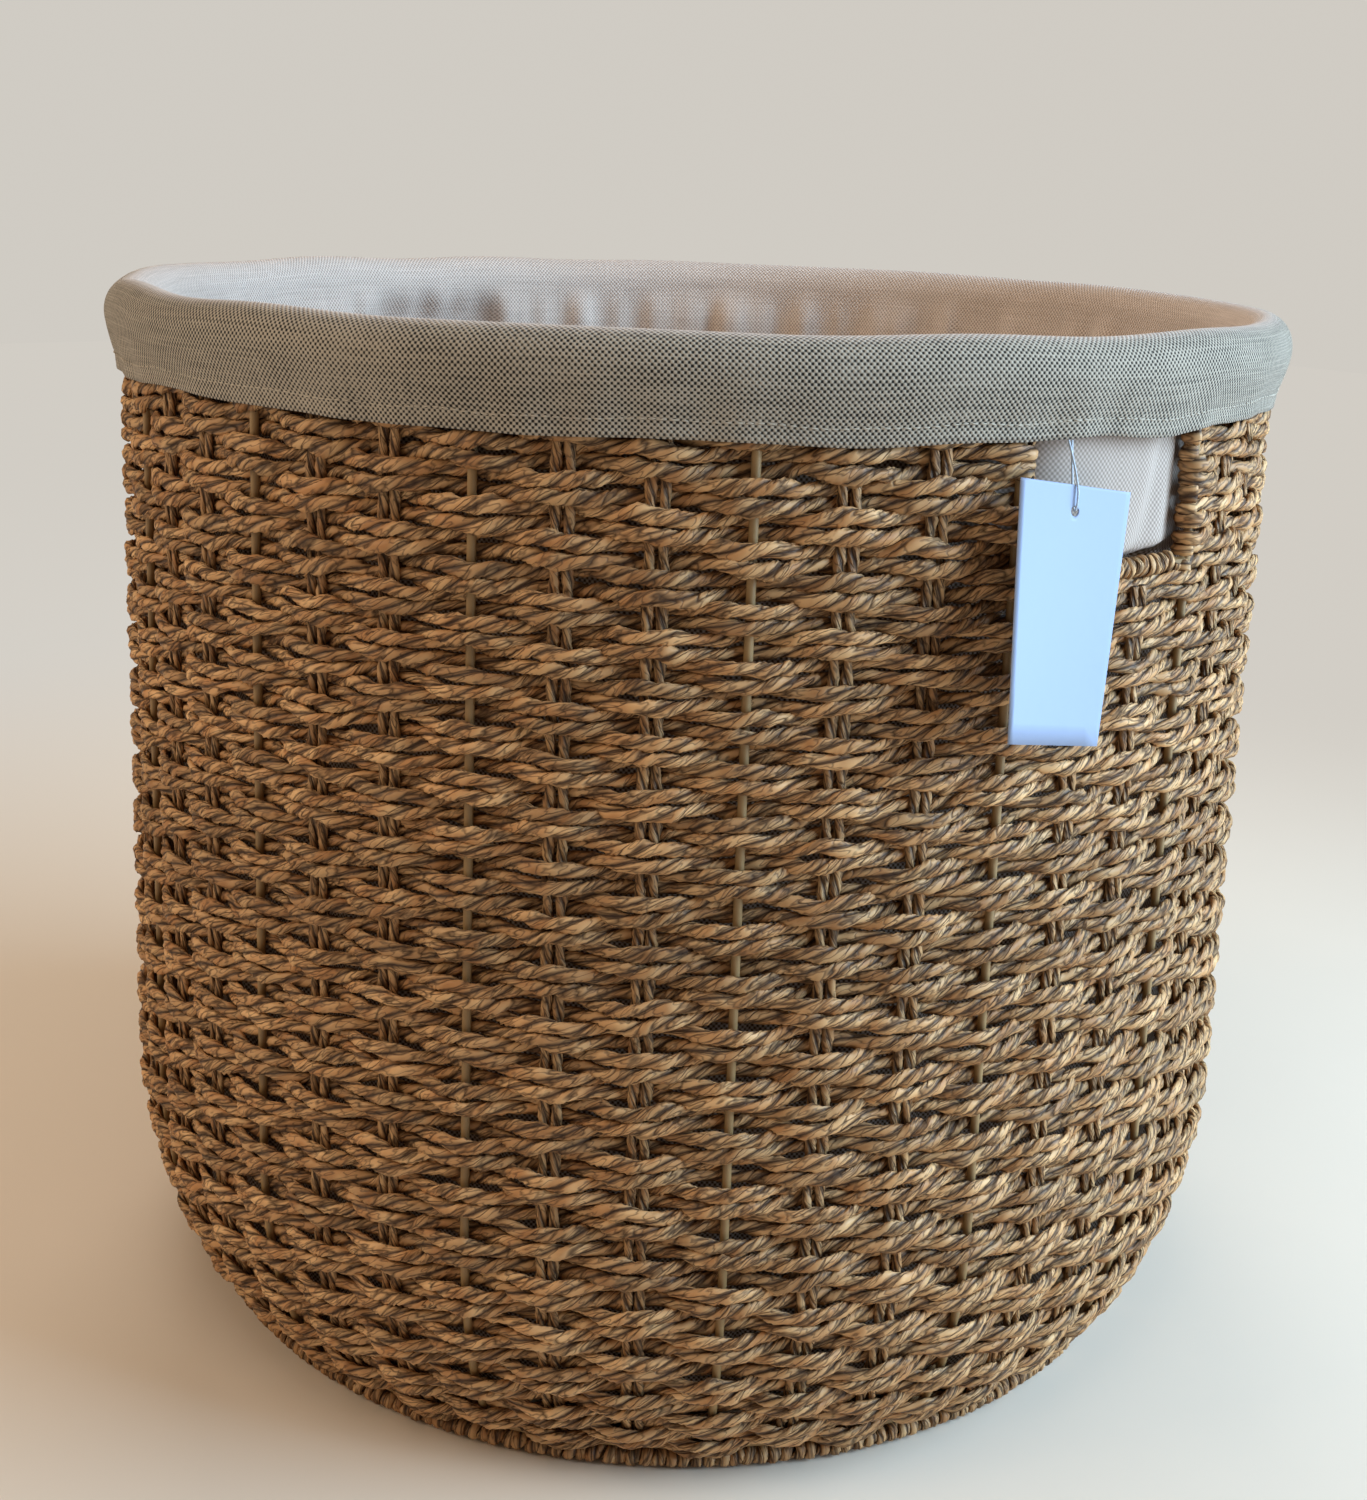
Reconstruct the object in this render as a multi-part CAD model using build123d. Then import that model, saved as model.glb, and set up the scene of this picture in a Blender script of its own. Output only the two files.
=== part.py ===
from build123d import *
import math
import os

# Round laundry basket woven from twisted paper cord on a welded wire frame,
# with a lift-out cloth liner whose cuff folds over the rim, and a blank swing tag.
# The axis of the basket is Z, the floor is at Z 0 and the hand-holds face +X and -X.

# Overall sizes in millimetres
height = 402.0              # floor to the top of the folded cuff
rim_radius = 228.5          # outside of the cuff's roll at the rim
roll_overhang = 11.0        # cuff's roll past the ring of stakes at full height
wall_spread = 9.5           # how much wider the straight wall would be at the floor than at full height
shoulder_height = 105.0     # where the wall starts to curve in towards the foot
shoulder_reach = 50.0       # how far in that curve would come at the floor

# Weave
stake_count = 48            # uprights round the wall, every third one a wire
wires_apart = 3
wall_rows = 17              # rows of weaving on the straight wall
shoulder_bends = 3          # straight lengths that each stake has round the shoulder
rows_per_bend = 2           # rows of weaving on each of those lengths
handle_rows = 4             # rows that stop at the posts of the hand-holds
band_thickness = 2.6        # a row is a pair of cords pressed into a flat band
row_gap = 0.4               # between one row and the next
weave_gap = 0.35            # between a row and the stake that it passes
row_tail = 5.0              # length of a row's end past its post

# Wire frame and cord
stake_wire = 3.0            # diameter of the upright wires
hoop_wire = 4.0             # diameter of the rim and foot hoops
spoke_wire = 3.0            # diameter of the wires under the floor
cord_stake_width = 8.4      # an upright of two cords side by side
cord_stake_thickness = 2.8
weld_gap = 0.2              # between wires that are welded together
seat_gap = 0.3              # between pieces that lie on each other

# Rim, foot and floor
rim_border_width = 8.8
rim_border_height = 4.5
foot_border_width = 8.5
foot_border_height = 7.5
border_bevel = 1.6
hub_radius = 30.0
base_mat_thickness = 3.4

# Wound sill of each hand-hold
sill_rod = 3.0
sill_cord = 2.2             # thickness of the layer of cord wound on the rod
sill_clearance = 0.25       # rod to wrap, and wrap to the row under it

# Liner
cloth = 1.2
roll_drop = 14.0            # height of the thick roll over the rim
roll_round = 4.0
cuff_height = 31.0
liner_gap = 1.0             # bag to the inside of the weave
cuff_gap = 0.5              # cuff to the outside of the weave

# Swing tag
tag_width = 45.0
tag_height = 80.0
tag_card = 0.5
tag_hole = 3.2
tag_hole_drop = 8.0         # hole's centre below the card's top edge
tag_angle = -7.8            # degrees round from the middle of the hand-hold
tag_tilt = 8.8              # degrees that the card hangs askew
tag_gap = 0.7               # card to the weave behind it
string_drop = 21.0          # cuff's edge to the hole
string_size = 0.7
string_gap = 0.75           # string's ends to the cuff's edge, and its run to the card's

# Ring of stakes on the straight wall, at full height and carried down to the floor
wall_radius_top = rim_radius - roll_overhang
wall_radius_low = wall_radius_top + wall_spread

# Angles round the basket
stake_step = 360.0 / stake_count
post_angle = stake_step * wires_apart / 2
half_stakes = stake_count // 2
stakes_in_handle = wires_apart - 1

# Levels from the foot to the rim
foot_hoop_height = foot_border_height + seat_gap + hoop_wire / 2
base_mat_top = foot_hoop_height - spoke_wire / 2 - seat_gap
liner_floor_bottom = foot_hoop_height + hoop_wire / 2 + seat_gap
rim_border_top = height - roll_round - seat_gap
rim_border_bottom = rim_border_top - rim_border_height
rim_hoop_height = rim_border_bottom - seat_gap - hoop_wire / 2
stake_top = rim_hoop_height - hoop_wire / 2 - weld_gap
cuff_bottom = height - cuff_height


def straight_wall(z):
    """Radius of the ring of stakes where the wall is straight."""
    return wall_radius_low + (wall_radius_top - wall_radius_low) * z / height


def shoulder_point(turn):
    """Radius and height on the elliptical shoulder, turn degrees below its top."""
    z = shoulder_height * (1 - math.sin(math.radians(turn)))
    return straight_wall(z) - shoulder_reach * (1 - math.cos(math.radians(turn))), z


shoulder_turn = math.degrees(math.asin(1 - foot_hoop_height / shoulder_height))
bend_turns = [shoulder_turn * (1 - bend / shoulder_bends) for bend in range(shoulder_bends + 1)]
bend_points = [shoulder_point(turn) for turn in bend_turns]
foot_radius = bend_points[0][0]
rim_hoop_radius = straight_wall(rim_hoop_height)


def wall_radius(z):
    """Radius of the ring of stakes at a height, along the stakes' straight lengths."""
    for (low_radius, low_z), (high_radius, high_z) in zip(bend_points, bend_points[1:]):
        if z <= high_z:
            return low_radius + (high_radius - low_radius) * (z - low_z) / (high_z - low_z)
    return straight_wall(z)


def wall_slant(low_z, high_z):
    """How much longer the wall is along its slope than upright between two heights."""
    return math.hypot(1, (wall_radius(high_z) - wall_radius(low_z)) / (high_z - low_z))


# Heights between which each row lies, from the foot up
foot_weave = foot_hoop_height + hoop_wire / 2 + weld_gap
row_pitch = (stake_top - shoulder_height) / wall_rows
row_levels = [foot_weave]
for (_, low_bend), (_, high_bend) in zip(bend_points, bend_points[1:]):
    bottom = max(low_bend, foot_weave)
    rise = (high_bend - bottom) / rows_per_bend
    row_levels += [bottom + rise * (row + 1) for row in range(rows_per_bend)]
row_levels += [shoulder_height + row_pitch * (row + 1) for row in range(wall_rows)]
row_count = len(row_levels) - 1
handle_start = row_count - handle_rows
opening_bottom = row_levels[handle_start]


def weave_swing(low_z, high_z):
    """How far a row's middle swings out and in from the ring of stakes."""
    spacing = math.radians(stake_step) * wall_radius(low_z)
    upright = band_thickness / 2 + weave_gap + cord_stake_thickness / 2
    return upright / (1 - cord_stake_width / spacing) * wall_slant(low_z, high_z)


def weave_reach(z):
    """Distance from the ring of stakes to a row's outer face on the straight wall."""
    return weave_swing(z - row_pitch / 2, z + row_pitch / 2) + band_thickness / 2


def place(radius, angle, z):
    """Point at a radius, an angle in degrees round the axis and a height."""
    return Vector(radius * math.cos(math.radians(angle)), radius * math.sin(math.radians(angle)), z)


def stake_angle(stake):
    """Angle of an upright; number 0 is a post of the +X hand-hold."""
    return post_angle + stake_step * stake


def in_handle(stake):
    """True for the uprights that stop under a hand-hold."""
    return stake % half_stakes >= half_stakes - stakes_in_handle


def hoop(section, sides=stake_count):
    """Ring of straight sides, with corners at the uprights, from its section's radii and heights."""
    path_radius = section[0][0]
    corners = [place(path_radius, post_angle + 360 * corner / sides, 0) for corner in range(sides)]
    middle = (corners[0] + corners[-1]) / 2
    flat_share = math.cos(math.pi / sides)
    side = Plane(origin=middle, x_dir=middle, z_dir=corners[-1] - corners[0])
    outline = [side.from_local_coords(((radius - path_radius) * flat_share, z)) for radius, z in section]
    path = Wire.make_polygon([middle, *corners], close=True)
    return sweep(make_face(Polyline(*outline, close=True)), path=path, transition=Transition.RIGHT)


def disc(radius, bottom, thickness):
    """Flat plate with a corner at each upright."""
    corners = [place(radius, stake_angle(stake), bottom) for stake in range(stake_count)]
    return extrude(make_face(Polyline(*corners, close=True)), amount=thickness)


def round_section(radius, z, diameter):
    """Corners of a six-sided wire section round a radius and a height."""
    corners = [math.radians(60 * corner) for corner in range(6)]
    return [(radius + diameter / 2 * math.cos(a), z + diameter / 2 * math.sin(a)) for a in corners]


def bar_section(middle, bottom, width, depth, bevel):
    """Corners of a bar section, flat underneath, with its two upper edges bevelled."""
    half = width / 2
    top = bottom + depth
    return [
        (middle - half, bottom),
        (middle + half, bottom),
        (middle + half, top - bevel),
        (middle + half - bevel, top),
        (middle - half + bevel, top),
        (middle - half, top - bevel),
    ]


def stake_path(stake, top):
    """Line of an upright from the foot hoop up round the shoulder and up the wall."""
    angle = stake_angle(stake)
    heights = [foot_weave, *[z for _, z in bend_points[1:]], top]
    return Polyline(*[place(wall_radius(z), angle, z) for z in heights])


def upright(stake, top, outline):
    """Upright whose outline is carried along its line, flat side to the wall."""
    path = stake_path(stake, top)
    start = Plane(path @ 0, x_dir=place(1, stake_angle(stake) + 90, 0), z_dir=path % 0)
    return sweep(start * outline, path=path, transition=Transition.RIGHT)


def wire_stakes():
    stakes = range(0, stake_count, wires_apart)
    return [upright(stake, stake_top, RegularPolygon(stake_wire / 2, 6)) for stake in stakes]


def cord_stakes():
    """Pairs of cords pressed side by side; those under a hand-hold stop at its sill."""
    outline = Rectangle(cord_stake_width, cord_stake_thickness)
    stakes = [stake for stake in range(stake_count) if stake % wires_apart]
    return [upright(stake, opening_bottom if in_handle(stake) else stake_top, outline) for stake in stakes]


def row_points(row, stakes, z, offset):
    """Corners of a row's face at a height: outside one upright and inside the next."""
    low, high = row_levels[row], row_levels[row + 1]
    swing = weave_swing(low, high)
    sides = [swing if (row + stake) % 2 else -swing for stake in stakes]
    radius = wall_radius(z) + offset * wall_slant(low, high)
    return [place(radius + side, stake_angle(stake), z) for stake, side in zip(stakes, sides)]


def row_ring(row):
    """Row that runs unbroken round the wall, leaning with the wall's slope."""
    levels = (row_levels[row] + row_gap / 2, row_levels[row + 1] - row_gap / 2)
    shells = []
    for offset in (band_thickness / 2, -band_thickness / 2):
        rings = [row_points(row, range(stake_count), z, offset) for z in levels]
        faces = [make_face(Polyline(*ring, close=True)) for ring in rings]
        shells.append(loft(faces, ruled=True))
    return [shells[0] - shells[1]]


def row_arcs(row):
    """Row in two halves, from post to post, with short ends past the posts."""
    bottom = row_levels[row] + row_gap / 2
    depth = row_levels[row + 1] - row_levels[row] - row_gap
    arcs = []
    for first in (0, half_stakes):
        stakes = range(first, first + half_stakes - stakes_in_handle)
        edges = []
        for offset in (band_thickness / 2, -band_thickness / 2):
            line = row_points(row, stakes, bottom, offset)
            start = line[0] + place(row_tail, stake_angle(stakes[0]) - 90, 0)
            end = line[-1] + place(row_tail, stake_angle(stakes[-1]) + 90, 0)
            edges.append([start, *line, end])
        arcs.append(extrude(make_face(Polyline(*edges[0], *reversed(edges[1]), close=True)), amount=depth))
    return arcs


# Sill of a hand-hold: a straight rod between the two posts, wound with cord
sill_wrap_radius = sill_rod / 2 + sill_clearance + sill_cord
sill_height = opening_bottom + sill_clearance + sill_wrap_radius
post_radius = wall_radius(sill_height)
sill_x = post_radius * math.cos(math.radians(post_angle))
sill_half = post_radius * math.sin(math.radians(post_angle)) - stake_wire / 2 - weld_gap
sill_wrap_half = sill_half - row_tail - weave_gap


def sill_rod_bar():
    """Rod along Y, welded between the posts of the +X hand-hold."""
    start = Plane((sill_x, -sill_half, sill_height), z_dir=(0, 1, 0))
    return extrude(start * RegularPolygon(sill_rod / 2, 6), amount=2 * sill_half)


def sill_wrap():
    """Sleeve of wound cord on the +X sill rod, clear of the row ends at the posts."""
    start = Plane((sill_x, -sill_wrap_half, sill_height), z_dir=(0, 1, 0))
    ring = RegularPolygon(sill_wrap_radius, 8) - RegularPolygon(sill_rod / 2 + sill_clearance, 8)
    return extrude(start * ring, amount=2 * sill_wrap_half)


def both_sides(solid):
    """A piece of the +X hand-hold and its twin at -X."""
    return [solid, Rotation(0, 0, 180) * solid]


def base_spokes():
    """Straight wires from the hub hoop to the foot hoop."""
    start = hub_radius + hoop_wire / 2 + weld_gap
    length = foot_radius - hoop_wire / 2 - weld_gap - start
    spokes = []
    for stake in range(0, stake_count, wires_apart):
        angle = stake_angle(stake)
        plane = Plane(place(start, angle, foot_hoop_height), z_dir=place(1, angle, 0))
        spokes.append(extrude(plane * RegularPolygon(spoke_wire / 2, 6), amount=length))
    return spokes


# Cloth liner: a bag inside the basket, a thick roll over the rim and a cuff outside
rim_reach = weave_reach(stake_top - row_pitch / 2)
foot_slant = wall_slant(row_levels[0], row_levels[1])
foot_reach = weave_swing(row_levels[0], row_levels[1]) + band_thickness / 2 * foot_slant
bag_radius = min(straight_wall(stake_top) - rim_reach, sill_x - sill_wrap_radius) - liner_gap
bag_low_radius = wall_radius(row_levels[0]) - foot_reach - liner_gap
weave_under_cuff = straight_wall(cuff_bottom - row_pitch) + rim_reach
cuff_radius = max(weave_under_cuff, rim_hoop_radius + rim_border_width / 2) + cuff_gap
bag_bend = bend_points[1][1] + bag_radius - bag_low_radius


def liner_side():
    """Bag wall, roll and cuff in one length of cloth."""
    roll_bottom = height - roll_drop
    return hoop([
        (bag_radius, rim_border_top + seat_gap),
        (cuff_radius, rim_border_top + seat_gap),
        (cuff_radius, cuff_bottom),
        (cuff_radius + cloth, cuff_bottom),
        (cuff_radius + cloth, roll_bottom - roll_round),
        (rim_radius, roll_bottom),
        (rim_radius, height - roll_round),
        (rim_radius - roll_round, height),
        (bag_radius - cloth + roll_round, height),
        (bag_radius - cloth, height - roll_round),
        (bag_radius - cloth, bag_bend),
        (bag_low_radius - cloth, liner_floor_bottom + cloth + weld_gap),
        (bag_low_radius, liner_floor_bottom + cloth + weld_gap),
        (bag_radius, bag_bend),
    ])


# Swing tag: a card that hangs flat to the wall on a loop of string under the cuff
tag_hole_height = cuff_bottom - string_drop
tag_bottom = tag_hole_height + tag_hole_drop - tag_height
tag_inner = straight_wall(tag_bottom) + rim_reach + tag_gap


def wall_plane(radius, z, tilt):
    """Plane that faces out from the wall at the tag's angle, turned in itself by a tilt in degrees."""
    level = math.radians(tilt)
    right = place(math.cos(level), tag_angle + 90, -math.sin(level))
    return Plane(place(radius, tag_angle, z), x_dir=right, z_dir=place(1, tag_angle, 0))


tag_frame = wall_plane(tag_inner, tag_hole_height, tag_tilt)
string_frame = wall_plane(cuff_radius + cloth / 2, cuff_bottom - string_gap, 0)


def hang_tag():
    card = Pos(0, tag_hole_drop - tag_height / 2) * Rectangle(tag_width, tag_height) - Circle(tag_hole / 2)
    return extrude(tag_frame * card, amount=tag_card)


def tag_string():
    """Loop from the cuff's edge through the hole and back, as runs joined by arcs."""
    front = tag_card + 2 * string_size
    back = -2 * string_size
    points = [
        string_frame.from_local_coords((-string_size, 0, 0)),
        tag_frame.from_local_coords((-string_size, tag_hole_drop + string_gap, front)),
        tag_frame.from_local_coords((-string_size / 2, -string_size / 2, front)),
        tag_frame.from_local_coords((string_size / 2, -string_size / 2, back)),
        string_frame.from_local_coords((string_size, 0, 0)),
    ]
    path = FilletPolyline(*points, radius=string_size)
    section = Plane(path @ 0, z_dir=path % 0) * RegularPolygon(string_size / 2, 4)
    print(f"tag string: length {path.length:.1f} mm, bends of {string_size} mm")
    return sweep(section, path=path)


def save(node, solids):
    """Write the solids of one named piece."""
    export_step(Compound(children=[part.solid() for part in solids]), f"parts/{node}.step")


os.makedirs("parts", exist_ok=True)
save("rim_hoop", [hoop(round_section(rim_hoop_radius, rim_hoop_height, hoop_wire))])
rim_bar = bar_section(rim_hoop_radius, rim_border_bottom, rim_border_width, rim_border_height, border_bevel)
save("rim_border", [hoop(rim_bar)])
save("foot_hoop", [hoop(round_section(foot_radius, foot_hoop_height, hoop_wire))])
foot_bar = bar_section(foot_radius, 0, foot_border_width, foot_border_height, border_bevel)
save("foot_border", [hoop(foot_bar)])
save("hub_hoop", [hoop(round_section(hub_radius, foot_hoop_height, hoop_wire), stake_count // wires_apart)])
save("base_spokes", base_spokes())
base_mat_radius = foot_radius - foot_border_width / 2 - seat_gap
save("base_mat", [disc(base_mat_radius, base_mat_top - base_mat_thickness, base_mat_thickness)])
save("wire_stakes", wire_stakes())
save("cord_stakes", cord_stakes())
for row in range(row_count):
    save(f"weave_row_{row + 1:02d}", row_arcs(row) if row >= handle_start else row_ring(row))
save("sill_rods", both_sides(sill_rod_bar()))
save("sill_wraps", both_sides(sill_wrap()))
save("liner_side", [liner_side()])
save("liner_floor", [disc(bag_low_radius, liner_floor_bottom, cloth)])
save("hang_tag", [hang_tag()])
save("tag_string", [tag_string()])
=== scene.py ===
import math
from dataclasses import dataclass

import bpy
import numpy as np
from bpy.props import FloatProperty, FloatVectorProperty, IntProperty, PointerProperty
from mathutils import Matrix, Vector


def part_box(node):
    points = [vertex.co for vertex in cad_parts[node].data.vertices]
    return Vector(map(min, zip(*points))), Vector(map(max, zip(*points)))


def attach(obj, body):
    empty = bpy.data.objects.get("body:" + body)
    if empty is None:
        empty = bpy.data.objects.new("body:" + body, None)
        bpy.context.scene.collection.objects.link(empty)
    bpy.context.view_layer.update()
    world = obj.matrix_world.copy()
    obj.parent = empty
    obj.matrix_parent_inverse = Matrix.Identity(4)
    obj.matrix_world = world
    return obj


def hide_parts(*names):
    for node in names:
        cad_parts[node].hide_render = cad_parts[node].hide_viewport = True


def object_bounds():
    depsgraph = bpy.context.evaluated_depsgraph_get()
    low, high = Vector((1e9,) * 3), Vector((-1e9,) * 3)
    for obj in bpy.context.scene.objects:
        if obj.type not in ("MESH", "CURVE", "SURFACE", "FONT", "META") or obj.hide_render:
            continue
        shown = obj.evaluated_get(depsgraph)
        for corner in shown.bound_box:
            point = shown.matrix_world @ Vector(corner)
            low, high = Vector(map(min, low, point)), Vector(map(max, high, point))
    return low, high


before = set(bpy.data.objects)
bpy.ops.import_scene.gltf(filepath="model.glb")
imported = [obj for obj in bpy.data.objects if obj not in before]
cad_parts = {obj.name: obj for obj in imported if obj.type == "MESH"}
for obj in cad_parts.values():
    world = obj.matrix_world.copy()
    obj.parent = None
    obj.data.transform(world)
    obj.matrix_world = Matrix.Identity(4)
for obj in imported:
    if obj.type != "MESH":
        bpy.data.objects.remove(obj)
cad_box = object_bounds()

bl_info = {
    "name": "Woven Laundry Basket",
    "version": (1, 0, 0),
    "blender": (4, 5, 0),
    "location": "View3D > Sidebar > Basket",
    "description": "Dresses a laundry basket in twisted paper rope, painted wire and linen cloth",
    "category": "Object",
}


# Places taken from the frame

def low(node):
    """Height of a node's underside."""
    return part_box(node)[0].z


def high(node):
    """Height of a node's top."""
    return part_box(node)[1].z


def middle(node):
    """Height half way up a node."""
    return (low(node) + high(node)) / 2


def half_height(node):
    """Half the distance from a node's underside to its top."""
    return (high(node) - low(node)) / 2


def reach(node):
    """Largest distance of a node from the middle, along X."""
    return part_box(node)[1].x


row_nodes = sorted(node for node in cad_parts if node.startswith("weave_row"))
handle_nodes = [node for node in row_nodes if low(node) > low("sill_wraps") - 0.001]
foot_level = low("wire_stakes")
rim_level = high("wire_stakes")
opening_level = low(handle_nodes[0])


# Sizes and colours that a user would change

def length(name, description, default):
    return FloatProperty(name=name, description=description, default=default, unit="LENGTH", precision=5)


def turn(name, description, degrees):
    return FloatProperty(name=name, description=description, default=math.radians(degrees), subtype="ANGLE")


def count(name, description, default):
    return IntProperty(name=name, description=description, default=default)


def share(name, description, default):
    return FloatProperty(name=name, description=description, default=default, subtype="FACTOR")


def colour(name, description, default):
    return FloatVectorProperty(name=name, description=description, default=default, size=3, subtype="COLOR")


class BasketWall(bpy.types.PropertyGroup):
    """Shape of the ring of stakes."""
    radius_top: length("Top radius", "Ring of stakes at full height", 0.2175)
    radius_low: length("Low radius", "The straight wall carried down to the floor", 0.227)
    height: length("Height", "Floor to the top of the cuff", cad_box[1].z)
    shoulder_height: length("Shoulder height", "Where the wall starts to curve in", 0.105)
    shoulder_reach: length("Shoulder reach", "How far in that curve would come at the floor", 0.05)
    stakes: count("Stakes", "Uprights round the wall", 48)
    wires_apart: count("Wires apart", "Every so many uprights one is a wire", 3)
    wire: length("Wire", "Diameter of the upright wires", 0.003)
    hoop_wire: length("Hoop wire", "Diameter of the rim and foot hoops", 0.004)
    cord_half: length("Cord stake", "Half the width of one upright cord", 0.0021)
    cord_depth: length("Cord stake depth", "Half the thickness of one upright cord", 0.0015)


class BasketWeave(bpy.types.PropertyGroup):
    """Rows of paired rope."""
    rows_low: count("Rows below", "Rows under the hand-holds", 35)
    rows_high: count("Rows beside", "Rows beside the hand-holds", 7)
    growth: share("Growth", "How much taller the lowest rows are than the mean, and the highest lower", 0.11)
    steps: count("Steps", "Sections of rope from one stake to the next", 15)
    lay: length("Lay", "Length in which a rope's strands turn once", 0.023)
    swing: length("Swing", "How far a rope's middle goes out over a stake", 0.0034)
    tuck: share("Tuck", "How much less far it goes in behind a stake", 0.25)
    crowd: share("Crowd", "How much taller a rope is behind a stake low on the wall", 0.4)
    cuff_room: length("Cuff room", "How far the rows under the cuff stand back from it", 0.0016)
    rope_depth: length("Rope depth", "Half a rope's thickness", 0.0021)
    rope_height: length("Rope height", "Half a rope's height behind a stake", 0.0027)
    press: share("Press", "How much taller a rope is pressed over a stake", 0.14)
    roam: length("Roam", "How far a rope strays from its line", 0.0004)
    swell: share("Swell", "How much a strand's thickness varies", 0.08)
    crumple: share("Crumple", "How far the paper's surface is crumpled, as a share of a rope's radius", 0.08)
    seed: count("Seed", "Start of the random draws", 11)


class BasketLiner(bpy.types.PropertyGroup):
    """Cloth bag and cuff."""
    cloth: length("Cloth", "Thickness", 0.0007)
    cuff_height: length("Cuff", "Height from the cuff's edge to the top of the roll", 0.031)
    cuff_taper: length("Cuff taper", "How much narrower the cuff is at its edge than at the rim", 0.0042)
    hem_return: length("Hem", "Height of the cloth turned up inside the cuff", 0.011)
    fold_depth: length("Folds", "How deep the bag's upright folds are", 0.0046)
    bulge: length("Bulge", "How far the bag stands out in a hand-hold", 0.0092)
    thread: length("Thread", "Distance from one thread of the cloth to the next", 0.00096)
    stitch: length("Stitch", "Distance from one stitch to the next", 0.0032)
    stitch_height: length("Stitch line", "Height of the stitching above the edge", 0.0058)


class BasketTag(bpy.types.PropertyGroup):
    """Blank card on a loop of nylon."""
    width: length("Width", "Card's width", 0.045)
    height: length("Height", "Card's height", 0.08)
    card: length("Card", "Thickness", 0.0005)
    hole: length("Hole", "Diameter", 0.0032)
    hole_drop: length("Hole drop", "Hole's middle below the top edge", 0.008)
    angle: turn("Angle", "Hole's angle round the basket", -8.1)
    radius: length("Radius", "Hole's distance from the axis", 0.2305)
    hole_level: length("Hole height", "Hole's height above the floor", 0.3507)
    tilt: turn("Tilt", "How far the card hangs askew", 8.8)
    lean: turn("Lean", "How far the card's foot stands out from the wall", 10.0)
    twist: turn("Twist", "How far the card's foot is turned against its top", 11.0)
    string: length("String", "Diameter of the nylon", 0.0007)
    string_length: length("String length", "From the cuff through the hole and back", 0.0446)
    string_angle: turn("String angle", "Where the nylon comes out under the cuff", -7.8)
    string_radius: length("String radius", "The same place's distance from the axis", 0.2245)
    string_level: length("String height", "The same place's height", 0.3716)


class BasketStage(bpy.types.PropertyGroup):
    """Camera's place and the floor."""
    azimuth: turn("Azimuth", "Angle from +X of the level direction to the camera's right", 51.39)
    tilt: turn("Tilt", "How far the camera looks down", 16.951)
    roll: turn("Roll", "How far the camera is turned about its line of sight", 1.979)
    distance: length("Distance", "Camera's level distance from the basket's axis", 0.77735)
    height: length("Height", "Camera's height above the floor", 0.44646)
    lens: FloatProperty(
        name="Lens", description="Focal length, for a sensor of 36 mm", default=45.6, unit="CAMERA")
    floor_half: length("Floor", "How far the floor goes each way from the middle", 4.0)
    ambient: share("Ambient", "Strength of the even light from all round", 0.19)


class BasketColours(bpy.types.PropertyGroup):
    """Base colours of the finishes."""
    paper: colour("Paper", "Twisted kraft paper", (0.45, 0.204, 0.072))
    # Painted shade: the paper's colour deep in its creases, where shade falls
    paper_crease_shade: colour("Paper creases", "Kraft paper deep in its creases", (0.040, 0.016, 0.006))
    # Painted highlight, not wear: paler patches laid at random by noise over the faces of the strands
    paper_pale: colour("Paper edges", "Worn crowns of the paper", (0.70, 0.408, 0.185))
    paint: colour("Paint", "Painted wire", (0.38, 0.225, 0.092))
    # Painted light: the bag's colour is painted paler than the cuff's, for the lit inside of the same cloth
    linen: colour("Linen", "Pale threads of the bag", (0.72, 0.58, 0.49))
    # Painted shade: the bag's threads that lie underneath in the chequer; the slubs add the cloth's own
    # darker tone
    linen_thread_shade: colour("Linen shade", "Dark threads of the bag", (0.36, 0.275, 0.225))
    # Painted shade: the cuff's colour is painted darker than the bag's, for the front of the same cloth in
    # shade
    cuff: colour("Cuff", "Pale threads of the cuff", (0.46, 0.385, 0.30))
    # Painted shade: the cuff's threads that lie underneath in the chequer and the holes between threads,
    # almost black
    cuff_thread_shade: colour("Cuff shade", "Dark threads of the cuff", (0.012, 0.010, 0.008))
    card: colour("Card", "Blank card", (0.32, 0.38, 0.53))
    nylon: colour("Nylon", "Line that the card hangs on", (0.50, 0.56, 0.64))
    floor: colour("Floor", "Plain floor", (0.74, 0.62, 0.50))
    backdrop: colour("Backdrop", "Even glow behind the basket", (0.63, 0.60, 0.55))
    ambient: colour("Ambient", "Even light from all round", (1.0, 0.8, 0.6))


# Shader maths

class Shade:
    """One value of a finish. Arithmetic on it adds Math nodes."""

    def __init__(self, finish, socket):
        self.finish = finish
        self.socket = socket

    def part(self, name):
        """Another output of the same node."""
        return Shade(self.finish, self.socket.node.outputs[name])

    def math(self, operation, *values):
        return self.finish.node("ShaderNodeMath", {"operation": operation}, dict(enumerate(values)))

    def __add__(self, other):
        return self.math("ADD", self, other)

    def __radd__(self, other):
        return self.math("ADD", other, self)

    def __sub__(self, other):
        return self.math("SUBTRACT", self, other)

    def __rsub__(self, other):
        return self.math("SUBTRACT", other, self)

    def __mul__(self, other):
        return self.math("MULTIPLY", self, other)

    def __rmul__(self, other):
        return self.math("MULTIPLY", other, self)

    def __abs__(self):
        return self.math("ABSOLUTE", self)

    def sine(self):
        return self.math("SINE", self)

    def clamped(self):
        """The value kept between 0 and 1."""
        return self.finish.node("ShaderNodeClamp", inputs={"Value": self})


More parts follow.
